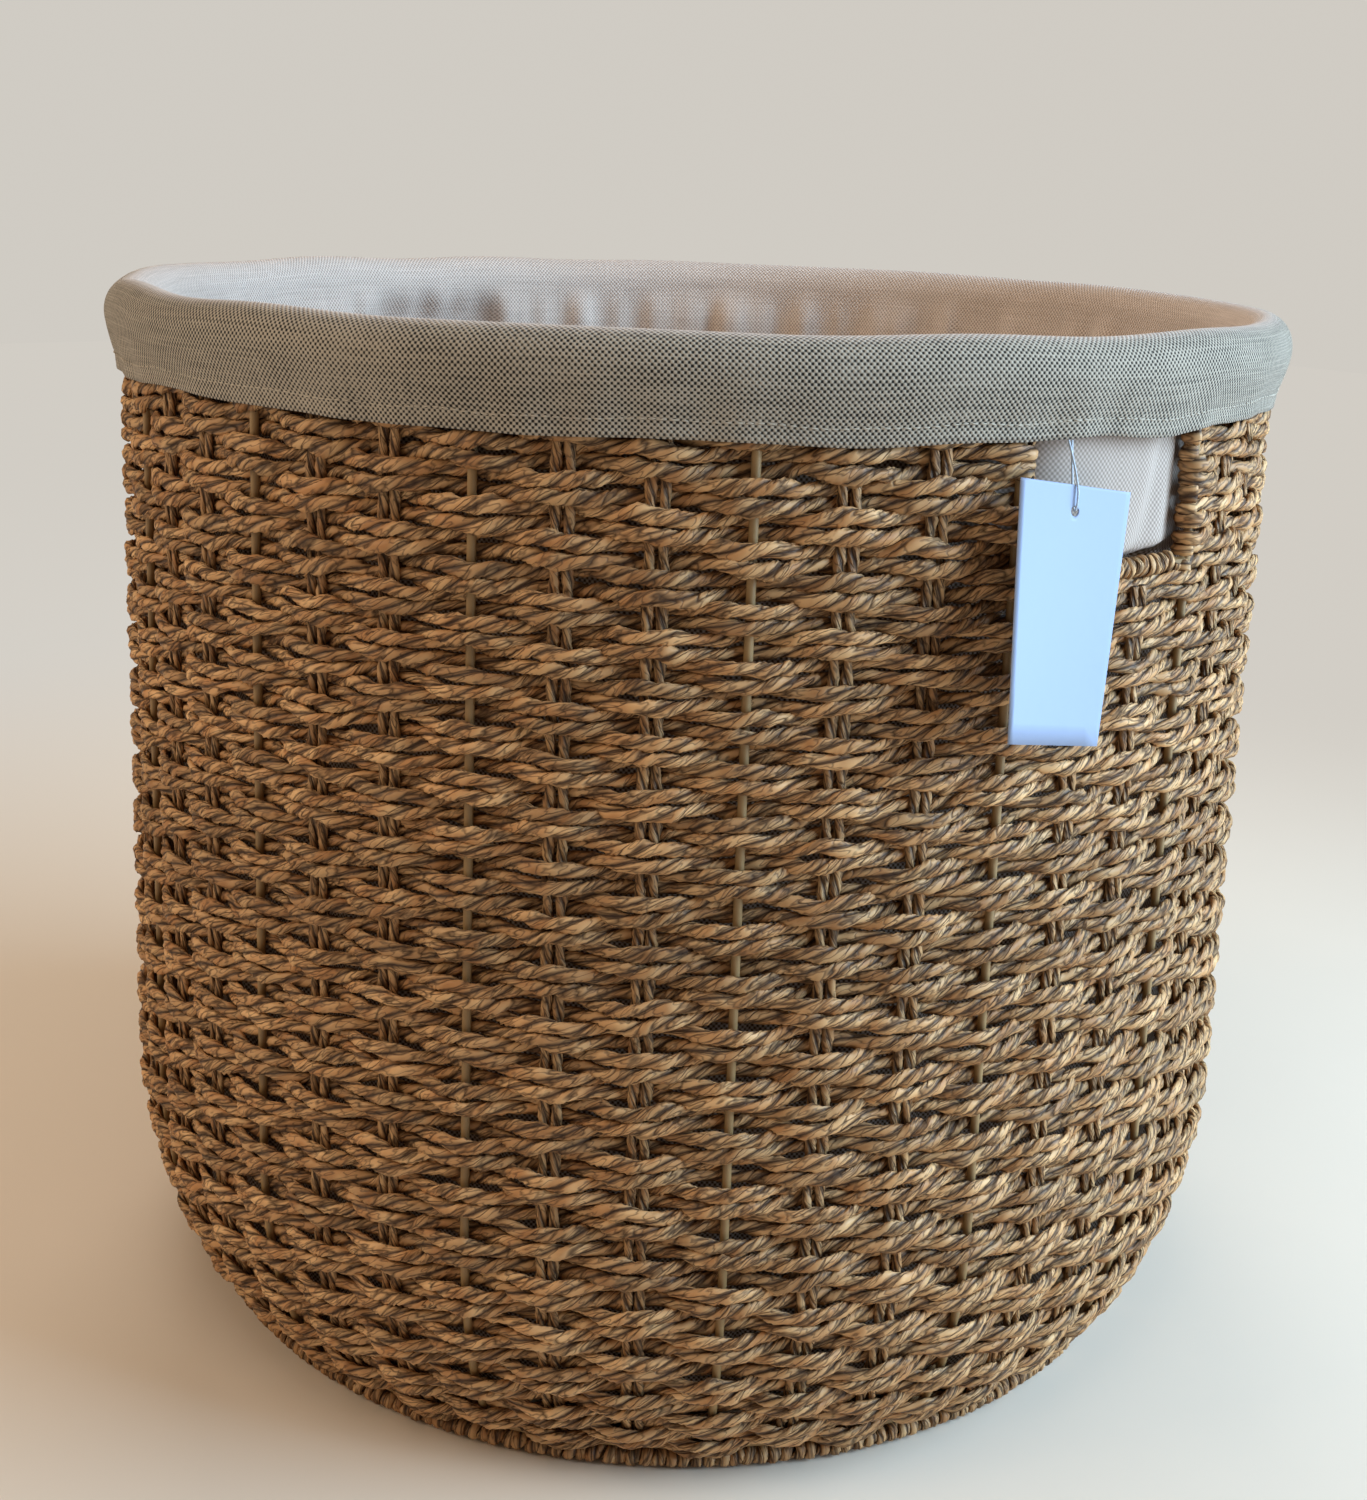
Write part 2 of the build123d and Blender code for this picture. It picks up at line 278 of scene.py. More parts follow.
class Finish:
    """A material, with one method that adds any node to it."""

    def __init__(self, name, **uniform):
        self.material = bpy.data.materials.new(name)
        self.material.use_nodes = True
        self.tree = self.material.node_tree
        self.shader = self.tree.nodes["Principled BSDF"]
        self.colours = bpy.context.scene.basket_colours
        self.surface(**uniform)

    def surface(self, **values):
        """Set or link sockets of the shader, and give the material."""
        for socket, value in values.items():
            self.feed(self.shader.inputs[socket.replace("_", " ")], value)
        return self.material

    def feed(self, socket, value):
        if isinstance(value, Shade):
            self.tree.links.new(value.socket, socket)
        else:
            socket.default_value = value

    def node(self, kind, settings=None, inputs=None, output=0):
        """Node of a kind, with its settings first and then the values or links of its sockets."""
        node = self.tree.nodes.new(kind)
        for name, value in (settings or {}).items():
            setattr(node, name, value)
        for key, value in (inputs or {}).items():
            self.feed(node.inputs[key], value)
        return Shade(self, node.outputs[output])

    def on_map(self, name):
        """Places across and up one of the piece's texture maps."""
        spread = self.node("ShaderNodeUVMap", {"uv_map": name})
        place = self.node("ShaderNodeSeparateXYZ", inputs={0: spread})
        return place, place.part("Y")

    def in_space(self):
        """Place of each point in the object's own space."""
        return self.node("ShaderNodeTexCoord", output=3)

    def tone(self):
        """The tone that each point of the piece carries; in the cloth it picks the bag's painted light, the
        cuff's painted shade and the hand-holds.
        """
        return self.node("ShaderNodeAttribute", {"attribute_name": "tone"}, output=2)

    def vector(self, x, y, z=0.0):
        return self.node("ShaderNodeCombineXYZ", inputs={0: x, 1: y, 2: z})

    def noise(self, vector, detail=2.0, roughness=0.5, scale=1.0):
        inputs = {"Vector": vector, "Scale": scale, "Detail": detail, "Roughness": roughness}
        return self.node("ShaderNodeTexNoise", inputs=inputs)

    def mix(self, factor, first, second, blend="MIX"):
        """Colour between two colours, or the first one multiplied by the second."""
        settings = {"data_type": "RGBA", "blend_type": blend}
        inputs = {0: factor, 6: opaque(first), 7: opaque(second)}
        return self.node("ShaderNodeMix", settings, inputs, output=2)

    def bump(self, height, strength, distance):
        inputs = {"Height": height, "Strength": strength, "Distance": distance}
        return self.node("ShaderNodeBump", inputs=inputs)


def opaque(value):
    return value if isinstance(value, Shade) else (*value, 1.0)


def toned(level, base):
    """A colour made darker or lighter."""
    return tuple(level * value for value in base)


def creased(noise):
    """Noise folded about its middle: 0 along thin lines, 1 on the faces between them."""
    return (abs(noise * 2.0 - 1.0) * 9.0).clamped()


def chequer(across, up):
    """Threads over and under: the sine of the place across times the sine of the place up."""
    return (across * math.pi).sine() * (up * math.pi).sine()


def paper_finish(name):
    """Kraft paper: long wrinkles along each strand, painted shade dark in the creases and painted highlights
    in pale patches on the crowns.
    """
    paper = Finish(name, Specular_IOR_Level=0.33)
    along, around = paper.on_map("cord")
    tone = paper.tone()
    broad = paper.noise(paper.vector(along * 0.8, around * 4.0, tone * 9.0), 1.0)
    fold = paper.noise(paper.vector(along * 1.7, around * 6.0, tone * 5.0), 1.0)
    leaf = paper.noise(paper.vector(along * 1.1, around * 2.0, tone * 17.0), 1.0)
    crease = creased(broad)
    line = creased(fold)
    seam = (abs((around * (2 * math.pi)).sine()) * 1.8).clamped()
    height = seam * 0.45 + crease * 0.25 + line * 0.12 + fold * 0.5
    # Painted shade: the colour goes dark along the seams between the strands and along the wrinkle and fold
    # lines, where shade falls; the same lines also shape the bump
    lit = (seam * (0.16 + 0.84 * crease) * (0.36 + 0.64 * line)).clamped()
    # Painted highlight: paler patches laid at random by noise, showing on the faces between the creases
    body = paper.mix((leaf * 2.6 - 0.8).clamped(), paper.colours.paper, paper.colours.paper_pale)
    base = paper.mix(lit, paper.colours.paper_crease_shade, body)
    shade = 0.55 + 0.8 * tone
    base = paper.mix(1.0, base, paper.vector(shade, shade, shade), "MULTIPLY")
    bump = paper.bump(height, 1.0, 0.0009)
    return paper.surface(Base_Color=base, Roughness=0.8 - 0.25 * crease, Normal=bump)


def paint_finish(name):
    """Brown paint on wire: satin, a little uneven, with small chips of gloss."""
    paint = Finish(name, Specular_IOR_Level=0.4)
    place = paint.in_space()
    blotch = paint.noise(place, 3.0, 0.6, 70.0)
    grain = paint.noise(place, 2.0, 0.5, 900.0)
    base = paint.mix((blotch * 1.8 - 0.4).clamped(), toned(0.6, paint.colours.paint), paint.colours.paint)
    bump = paint.bump(grain, 0.25, 0.0003)
    return paint.surface(Base_Color=base, Roughness=0.38 + 0.25 * blotch, Normal=bump)


def linen_finish(name):
    """Plain woven cloth: threads over and under in a chequer, painted as lit threads on top and painted shade
    on those underneath, with slubs along both ways. The bag is painted paler than the cuff, as painted light
    on the inside and painted shade on the cuff's front of the same cloth, which the tone of each point tells
    apart."""
    linen = Finish(name, Specular_IOR_Level=0.15, Sheen_Weight=0.1)
    across, up = linen.on_map("cloth")
    over = chequer(across, up)
    warp = linen.noise(linen.vector(across * 0.9, up * 0.03), 3.0, 0.6)
    weft = linen.noise(linen.vector(across * 0.03, up * 0.9, 5.0), 3.0, 0.6)
    cloud = linen.noise(linen.vector(across * 0.009, up * 0.009, 9.0))
    slub = warp * 0.4 + weft * 0.6
    loose = 0.45 + 0.7 * linen.noise(linen.vector(across * 0.05, up * 0.05, 2.0))
    # Painted light and shade: the chequer lights the threads on top and shades those underneath; the slubs
    # and the cloud are the cloth's own tone
    light = (0.62 + 1.25 * over * loose + (slub - 0.5) * 1.8 + (cloud - 0.5) * 0.5).clamped()
    cuff = linen.mix(light, linen.colours.cuff_thread_shade, linen.colours.cuff)
    bag = linen.mix(light, linen.colours.linen_thread_shade, linen.colours.linen)
    # Painted light and shade: the tone picks the bag's painted paler colour or the cuff's painted darker
    # colour
    base = linen.mix(linen.tone().clamped(), cuff, bag)
    bump = linen.bump(over * 0.5 + slub, 0.5, 0.0005)
    return linen.surface(Base_Color=base, Roughness=0.92 - 0.1 * slub, Normal=bump)


def reverse_finish(name):
    """Wrong side of the cloth: painted dark brown shade where it shows between the ropes, pale in the
    hand-holds, which the tone of each point tells apart. Its chequer is painted as lit and shaded threads."""
    reverse = Finish(name, Specular_IOR_Level=0.1)
    over = chequer(*reverse.on_map("cloth"))
    light = (0.45 + over * 0.6).clamped()
    # Painted shade: dark brown, from the paper's colour, where the wall's shade falls on the cloth between
    # the ropes
    painted_gap_shade = reverse.mix(light, toned(0.3, reverse.colours.paper), toned(0.9, reverse.colours.linen))
    pale = reverse.mix(light, toned(0.8, reverse.colours.linen_thread_shade), toned(0.82, reverse.colours.linen))
    hold = (reverse.tone() - 1.0).clamped()
    return reverse.surface(Base_Color=reverse.mix(hold, painted_gap_shade, pale), Roughness=0.9 + 0.05 * over)


def card_finish(name):
    """Smooth coated card, very slightly mottled."""
    card = Finish(name, Specular_IOR_Level=0.35)
    place = card.in_space()
    mottle = card.noise(place, 3.0, 0.6, 220.0)
    fibre = card.noise(place, 2.0, 0.5, 2500.0)
    base = card.mix(mottle, toned(0.94, card.colours.card), card.colours.card)
    bump = card.bump(fibre, 0.06, 0.0001)
    return card.surface(Base_Color=base, Roughness=0.42 + 0.12 * mottle, Normal=bump)


def thread_finish(name, tone, gloss):
    """Thread or nylon line of one tone, streaked a little along its length."""
    thread = Finish(name, Specular_IOR_Level=0.5)
    streak = thread.noise(thread.in_space(), 2.0, 0.5, 1500.0)
    base = thread.mix(streak, toned(0.82, tone), tone)
    return thread.surface(Base_Color=base, Roughness=gloss + 0.1 * streak)


def floor_finish(name):
    """Plain pale floor with a faint mottle, that fades far from the basket into the backdrop's glow."""
    floor = Finish(name, Specular_IOR_Level=0.2, Emission_Strength=1.0)
    place = floor.in_space()
    mottle = floor.noise(place, 4.0, 0.6, 9.0)
    distance = floor.node("ShaderNodeVectorMath", {"operation": "LENGTH"}, {0: place}, output=1)
    fade = {"Value": distance, "From Min": 0.35, "From Max": 1.15}
    far = floor.node("ShaderNodeMapRange", {"interpolation_type": "SMOOTHSTEP"}, fade)
    base = floor.mix(mottle, toned(0.97, floor.colours.floor), floor.colours.floor)
    black = (0.0, 0.0, 0.0)
    glow = floor.mix(far, black, floor.colours.backdrop)
    return floor.surface(
        Base_Color=floor.mix(far, base, black), Roughness=0.7 + 0.1 * mottle, Emission_Color=glow)


def finish_of(make, name, *values):
    """The finish of that name, made the first time it is asked for."""
    return bpy.data.materials.get(name) or make(name, *values)


# Surfaces as grids of points

@dataclass
class Grid:
    """Points on rows and columns, with a place on the texture and a tone for each. The columns close into
    a tube, and in a ring the rows close too. The rows named as ends, 0 for the first and -1 for the last,
    are closed with one face."""
    points: np.ndarray
    across: np.ndarray
    up: np.ndarray
    tone: np.ndarray = 0.5
    ring: bool = False
    ends: tuple = ()

    def faces(self):
        """Rows and columns of the corners of each four-sided face."""
        rows, columns = self.points.shape[:2]
        bands = rows if self.ring else rows - 1
        row, column = np.indices((bands, columns)).reshape(2, -1)
        corner_rows = np.stack([row, row + 1, row + 1, row], -1)
        corner_columns = np.stack([column, column, column + 1, column + 1], -1)
        return corner_rows, corner_columns


def joined(grids):
    """Several grids as one: points, corners of the faces, the faces' sizes, the corners' places on the
    texture and the points' tones."""
    points, corners, sizes, places, tones = [], [], [], [], []
    start = 0
    for grid in grids:
        rows, columns = grid.points.shape[:2]
        corner_rows, corner_columns = grid.faces()
        corners.append((start + corner_rows % rows * columns + corner_columns % columns).ravel())
        sizes.append(np.full(len(corner_rows), 4))
        spread = (rows + 1, columns + 1)
        across = np.broadcast_to(grid.across, spread)[corner_rows, corner_columns]
        up = np.broadcast_to(grid.up, spread)[corner_rows, corner_columns]
        places.append(np.stack([across.ravel(), up.ravel()], -1))
        for end in grid.ends:
            edge = start + end % rows * columns + np.arange(columns)
            corners.append(edge[::-1] if end else edge)
            sizes.append([columns])
            places.append(np.zeros((columns, 2)))
        points.append(grid.points.reshape(-1, 3))
        tones.append(np.broadcast_to(grid.tone, (rows, columns)).ravel())
        start += rows * columns
    return [np.concatenate(values) for values in (points, corners, sizes, places, tones)]


def add(name, data):
    """New object in the scene."""
    made = bpy.data.objects.new(name, data)
    bpy.context.scene.collection.objects.link(made)
    return made


def add_piece(name, data, body, replaced):
    """New object that rides on a body, in place of nodes of the frame."""
    made = add(name, data)
    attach(made, body)
    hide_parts(*replaced)
    return made


def build(name, grids, finish, uv_name, body, replaced=()):
    """Join grids into one piece that rides on a body."""
    points, corners, sizes, places, tones = joined(grids)
    mesh = bpy.data.meshes.new(name)
    mesh.vertices.add(len(points))
    mesh.vertices.foreach_set("co", points.astype(np.float32).ravel())
    mesh.loops.add(len(corners))
    mesh.loops.foreach_set("vertex_index", corners.astype(np.int32))
    mesh.polygons.add(len(sizes))
    mesh.polygons.foreach_set("loop_start", (np.cumsum(sizes) - sizes).astype(np.int32))
    mesh.polygons.foreach_set("use_smooth", np.ones(len(sizes), bool))
    layer = mesh.uv_layers.new(name=uv_name)
    layer.uv.foreach_set("vector", places.astype(np.float32).ravel())
    tone = mesh.attributes.new("tone", "FLOAT", "POINT")
    tone.data.foreach_set("value", tones.astype(np.float32))
    mesh.update(calc_edges=True)
    if mesh.validate():
        raise RuntimeError(f"{name} came out with faces that had to be mended")
    mesh.materials.append(finish)
    return add_piece(name, mesh, body, replaced)


def build_ropes(node, made, ropes):
    """Piece of paper rope in place of a node, named for the node and how it is made."""
    paper = finish_of(paper_finish, "kraft_paper")
    return build(f"{node}_{made}", ropes, paper, "cord", "basket", [node])


def build_wires(node, wires):
    """Piece of round painted wire in place of a node."""
    paint = finish_of(paint_finish, "wire_paint")
    return build(node + "_round", wires, paint, "cord", "basket", [node])


def thicken(piece, thickness):
    """Give a sheet its thickness, evenly to both sides."""
    solid = piece.modifiers.new("thickness", "SOLIDIFY")
    solid.thickness = thickness
    solid.offset = 0
    return solid


def draws(group):
    """Random numbers for one group of pieces, the same at every run."""
    return np.random.default_rng(bpy.context.scene.basket_weave.seed + group)


def wander(rng, angle, slowest, fastest, waves=9):
    """Smooth ripple round a circle: a sum of sine waves, with counts and phases drawn at random."""
    counts = rng.integers(slowest, fastest + 1, waves)
    phases = rng.uniform(0, 2 * math.pi, waves)
    return np.sin(np.multiply.outer(angle, counts) + phases).sum(-1) / math.sqrt(waves / 2)


def wander_pair(rng, angle, slowest, fastest):
    """Two such ripples, one for each strand of a rope."""
    return np.stack([wander(rng, angle, slowest, fastest) for _ in range(2)], -1)


def ease(value):
    """Smooth step from 0 to 1: three times the square less twice the cube."""
    value = np.clip(value, 0, 1)
    return value * value * (3 - 2 * value)


def circle(steps):
    """Even angles once round."""
    return np.arange(steps) * 2 * math.pi / steps


def per_row(values):
    """One value for each row, to be spread over the columns."""
    return np.reshape(values, (-1, 1))


def distance_along(*places):
    """Distance to each point of a line, from its places along each axis."""
    steps = np.linalg.norm(np.diff(places, axis=1), axis=0)
    return np.concatenate([[0], np.cumsum(steps)])


ALONG_X, _, UP = np.eye(3)


def around_axis(angle):
    """Outward and sideways unit vectors at angles round the basket."""
    zero = np.zeros_like(angle)
    out = np.stack([np.cos(angle), np.sin(angle), zero], -1)
    side = np.stack([-np.sin(angle), np.cos(angle), zero], -1)
    return out, side


def square_to(line, out, ring):
    """Outward and upward unit vectors square to a line, at each of its points."""
    if ring:
        ahead = np.roll(line, -1, 0) - np.roll(line, 1, 0)
    else:
        ahead = np.gradient(line, axis=0)
    ahead /= np.linalg.norm(ahead, axis=1, keepdims=True)
    out = out - ahead * (out * ahead).sum(1, keepdims=True)
    out /= np.linalg.norm(out, axis=1, keepdims=True)
    return out, np.cross(out, ahead)


def tube(line, across, upward, out, up, distance, places, tone=0.5, ring=False):
    """Section carried along a line: each point lies so far across and upward from the line. Distances on
    the texture are in centimetres, with one more for the row that closes a ring."""
    points = line[:, None] + across[..., None] * out[:, None] + upward[..., None] * up[:, None]
    ends = () if ring else (0, -1)
    return Grid(points, per_row(distance) * 100, places[None, :], tone, ring, ends)


# A rope's two strands: how far each lies from the rope's middle and how thick it is, as shares of the rope,
# and the angles of a section's points over one strand, then over the other
STRAND_OFFSET = 0.28
STRAND_RADIUS = 0.72
ONE_STRAND = np.array([-90, -58, -20, 20, 58])
ROPE_COLUMNS = np.radians(np.concatenate([ONE_STRAND, ONE_STRAND + 180]))
WIRE_SIDES = 12


def crumpled(rows, columns, shift):
    """Unevenness of crumpled paper, from -1 to 1 for each point of a rope: the fraction that is left over
    from a large multiple of a sine."""
    place = np.arange(rows)[:, None] * 12.9898 + np.arange(columns) * 78.233 + shift * 37.719
    return 2 * (np.sin(place) * 43758.5453 % 1) - 1


def twisted(line, out, depth, height, twist, swell, tone, ring=False, shift=0.0):
    """Two-strand rope along a line. Its section is the outline of two round strands side by side: at an
    angle from the first strand it is the strand's offset times the cosine, plus the root of the strand's
    radius squared less the offset times the sine squared. The section turns with the twist along the line
    and is pressed to a depth and a height."""
    offset = STRAND_OFFSET * np.cos(ROPE_COLUMNS)
    radius = abs(offset) + np.sqrt(STRAND_RADIUS ** 2 - (STRAND_OFFSET * np.sin(ROPE_COLUMNS)) ** 2)
    strand = (offset < 0).astype(int)
    angle = ROPE_COLUMNS + per_row(twist)
    radius = radius * (1 + swell[:, strand] * abs(np.cos(ROPE_COLUMNS)))
    radius = radius * (1 + bpy.context.scene.basket_weave.crumple * crumpled(*angle.shape, shift))
    across = per_row(depth) * radius * np.cos(angle)
    upward = per_row(height) * radius * np.sin(angle)
    distance = shift + distance_along(*line.T)
    closing = 2 * distance[-1] - distance[-2]
    places = np.append(ROPE_COLUMNS + math.pi / 2, 2 * math.pi) / (2 * math.pi)
    directions = square_to(line, out, ring)
    return tube(line, across, upward, *directions, np.append(distance, closing), places, tone, ring)


def round_wire(line, out, radius, ring=False):
    """Round wire: a circle of a radius carried along a line."""
    angle = circle(WIRE_SIDES)
    across = np.broadcast_to(radius * np.cos(angle), (len(line), WIRE_SIDES))
    upward = np.broadcast_to(radius * np.sin(angle), (len(line), WIRE_SIDES))
    distance = np.append(np.arange(len(line)) * radius, 0.0)
    places = np.arange(WIRE_SIDES + 1) / WIRE_SIDES
    return tube(line, across, upward, *square_to(line, out, ring), distance, places, ring=ring)


class Wall:
    """The ring of stakes as one line up the wall, measured along its length."""

    def __init__(self):
        sizes = bpy.context.scene.basket_wall
        z = np.linspace(foot_level, rim_level, 1500)
        sink = np.clip(1 - z / sizes.shoulder_height, 0, 1)
        straight = sizes.radius_low + (sizes.radius_top - sizes.radius_low) * z / sizes.height
        self.z = z
        self.radius = straight - sizes.shoulder_reach * (1 - np.sqrt(1 - sink ** 2))
        self.along = distance_along(self.radius, z)
        self.step = 2 * math.pi / sizes.stakes
        self.post = self.step * sizes.wires_apart / 2
        self.half = sizes.stakes // 2
        self.gap = sizes.wires_apart - 1

    def length_to(self, z):
        """Distance up the wall's line at a height."""
        return float(np.interp(z, self.z, self.along))

    def at(self, along):
        """Radius, height and outward lean of the wall at distances up its line. The lean comes from the
        radius a millimetre on and a millimetre back."""
        radius = np.interp(along, self.along, self.radius)
        z = np.interp(along, self.along, self.z)
        ahead = np.interp(along + 0.001, self.along, self.radius)
        behind = np.interp(along - 0.001, self.along, self.radius)
        lean = np.arctan2(behind - ahead, 0.002)
        return radius, z, lean

    def stake_angle(self, stake):
        """Angle of an upright; number 0 is a post of the +X hand-hold."""
        return self.post + self.step * stake

    def in_handle(self, stake):
        """True for the uprights that stop under a hand-hold."""
        return stake % self.half >= self.half - self.gap

    def upright(self, stake, top, spacing, shift=0.0):
        """Line of an upright up to a height, with the wall's outward direction at each point."""
        along = np.arange(0, self.length_to(top), spacing)
        radius, z, lean = self.at(along)
        out, side = around_axis(np.full(len(along), self.stake_angle(stake)))
        line = per_row(radius) * out + per_row(z) * UP + shift * side
        return line, leaning(out, lean)[0]


def cuff_edge():
    """Height of the cuff's lower edge."""
    return high("liner_side") - bpy.context.scene.basket_liner.cuff_height


def leaning(out, lean):
    """Directions out from the wall and up it, where it leans outwards."""
    normal = per_row(np.cos(lean)) * out + per_row(np.sin(lean)) * UP
    upward = per_row(np.cos(lean)) * UP - per_row(np.sin(lean)) * out
    return normal, upward


# Pieces

class BASKET_OT_weave(bpy.types.Operator):
    """Weave the rows of paired rope, over one stake and under the next"""
    bl_idname = "basket.weave"
    bl_label = "Woven wall"

    # Points on the turn round a post, and how far apart the two ropes of a row lie, as a share of one
    turn_points = 10
    ropes_apart = 0.92

    # Crowding high on the wall, the height where it starts to grow, and over how much height; the height
    # over which the rows make room for the cuff
    least_crowd = 0.1
    crowd_level = 0.14
    crowd_fade = 0.09
    room_fade = 0.01

    def execute(self, context):
        wall = Wall()
        weave = context.scene.basket_weave
        rng = draws(0)
        middles, fullness = self.row_lines(wall, weave)
        node_heights = np.array([middle(node) for node in row_nodes])
        owners = abs(per_row(wall.at(middles)[1]) - node_heights).argmin(1)
        for number, node in enumerate(row_nodes):
            spans = self.handle_spans(wall) if node in handle_nodes else [None]
            ropes = []
            for row in np.flatnonzero(owners == number):
                for span in spans:
                    ropes += self.row(wall, weave, rng, middles[row], fullness[row], row, span)
            build_ropes(node, "ropes", ropes)
        return {"FINISHED"}

    def row_lines(self, wall, weave):
        """Distance up the wall of each row's middle, and each row's height as a share of the mean. Under
        the hand-holds the rows get lower as they go up."""
        foot = wall.length_to(foot_level) - weave.rope_height
        sill = wall.length_to(opening_level)
        share_up = np.linspace(0, 1, weave.rows_low + 1)
        share_up = share_up + weave.growth * share_up * (1 - share_up)
        beside = np.linspace(sill, wall.length_to(rim_level), weave.rows_high + 1)
        edges = np.concatenate([foot + (sill - foot) * share_up, beside[1:]])
        return (edges[1:] + edges[:-1]) / 2, np.diff(edges) / np.diff(edges).mean()

    def handle_spans(self, wall):
        """Angles of the first and last post of each half of the wall between the hand-holds."""
        last = wall.half - wall.gap - 1
        starts = (0, wall.half)
        return [(wall.stake_angle(start), wall.stake_angle(start + last)) for start in starts]

    def row_angles(self, wall, weave, span):
        """Angle round the basket of each point of a row, and how far the row has turned there round the
        post at its end."""
        if span is None:
            angle = np.arange(weave.steps * 2 * wall.half) * wall.step / weave.steps
            return angle, np.zeros_like(angle)
        stakes = round((span[1] - span[0]) / wall.step)
        between = np.linspace(*span, stakes * weave.steps + 1)
        first, last = (np.full(self.turn_points, post) for post in span)
        turning = np.radians(np.linspace(150, 15, self.turn_points))
        curl = np.concatenate([-turning, np.zeros_like(between), turning[::-1]])
        return np.concatenate([first, between, last]), curl

    def row(self, wall, weave, rng, along, fullness, row, span):
        """Two ropes side by side. Their middle swings from the wall as a cosine with a crest at every
        second stake, flattened a little at its crests, and rises and strays by random ripples. A row that
        ends at posts turns round each post and stops behind it."""
        angle, curl = self.row_angles(wall, weave, span)
        wave = np.cos(math.pi * (angle - wall.post) / wall.step) * (-1) ** row
        wave = wave * (1.25 - 0.25 * wave ** 2)
        radius, z, lean = wall.at(np.full_like(angle, along))
        out, side = around_axis(angle)
        normal, upward = leaning(out, lean)
        facing = per_row(np.cos(curl)) * normal + per_row(np.sin(curl) * np.sign(wave)) * side
        low_down = ease((self.crowd_level - z) / self.crowd_fade)
        crowd = self.least_crowd + (weave.crowd - self.least_crowd) * low_down
        room = weave.cuff_room * ease((z - cuff_edge() + self.room_fade) / self.room_fade)
        pressed = wave * np.cos(curl)
        depth = weave.rope_depth * fullness * (1 - 0.5 * weave.press * pressed)
        plain = weave.rope_height * fullness * (
            1 + weave.press * np.maximum(pressed, 0) + crowd * np.maximum(-wave, 0))
        turns = round(2 * math.pi * float(radius[0]) / weave.lay)
        ropes = []
        lift = weave.roam * wander(rng, angle, 3, 24)
        for level in (-1, 1):
            stray = weave.roam * wander(rng, angle, 10, 70)
            height = plain * (1 + 0.05 * wander(rng, angle, 20, 90))
            swing = weave.swing * (1 + 0.04 * wander(rng, angle, 12, 48)) * (1 - weave.tuck * (wave < 0))
            offset = swing * pressed + 0.4 * weave.roam * wander(rng, angle, 10, 60) - room
            rise = level * self.ropes_apart * height + stray + lift
            line = per_row(radius) * out + per_row(z) * UP + per_row(offset) * normal
            line = line + per_row(rise) * upward + per_row(weave.swing * np.sin(curl)) * side
            twist = angle * turns + rng.uniform(0, 2 * math.pi) + 0.5 * wander(rng, angle, 8, 40)
            swell = weave.swell * wander_pair(rng, angle, 40, 190)
            tone, shift = rng.uniform(0.24, 0.76), rng.uniform(0, 9)
            ropes.append(twisted(line, facing, depth, height, twist, swell, tone, span is None, shift))
        return ropes


class BASKET_OT_stakes(bpy.types.Operator):
    """Set up the painted wires and the pairs of upright cord"""
    bl_idname = "basket.stakes"
    bl_label = "Stakes"

    # Distance from point to point up a wire and up a cord, and the length in which a cord turns once
    wire_spacing = 0.006
    cord_spacing = 0.003
    cord_lay = 0.026

    def execute(self, context):
        wall = Wall()
        sizes = context.scene.basket_wall
        rng = draws(1)
        wires, cords = [], []
        for stake in range(sizes.stakes):
            if stake % sizes.wires_apart:
                cords += self.cord_pair(wall, sizes, rng, stake)
            else:
                wires.append(round_wire(*wall.upright(stake, rim_level, self.wire_spacing), sizes.wire / 2))
        build_wires("wire_stakes", wires)
        build_ropes("cord_stakes", "twisted", cords)
        return {"FINISHED"}

    def cord_pair(self, wall, sizes, rng, stake):
        """Two thin ropes side by side up the wall, pressed flat against each other."""
        top = opening_level if wall.in_handle(stake) else rim_level
        ropes = []
        for level in (-1, 1):
            line, out = wall.upright(stake, top, self.cord_spacing, level * sizes.cord_half)
            distance = np.arange(len(line)) * self.cord_spacing
            twist = 2 * math.pi * distance / self.cord_lay + rng.uniform(0, 2 * math.pi)
            swell = 0.1 * wander_pair(rng, distance * 16, 5, 40)
            tone, shift = rng.uniform(0.15, 0.45), rng.uniform(0, 9)
            ropes.append(twisted(
                line, out, sizes.cord_depth, sizes.cord_half, twist, swell, tone, shift=shift))
        return ropes


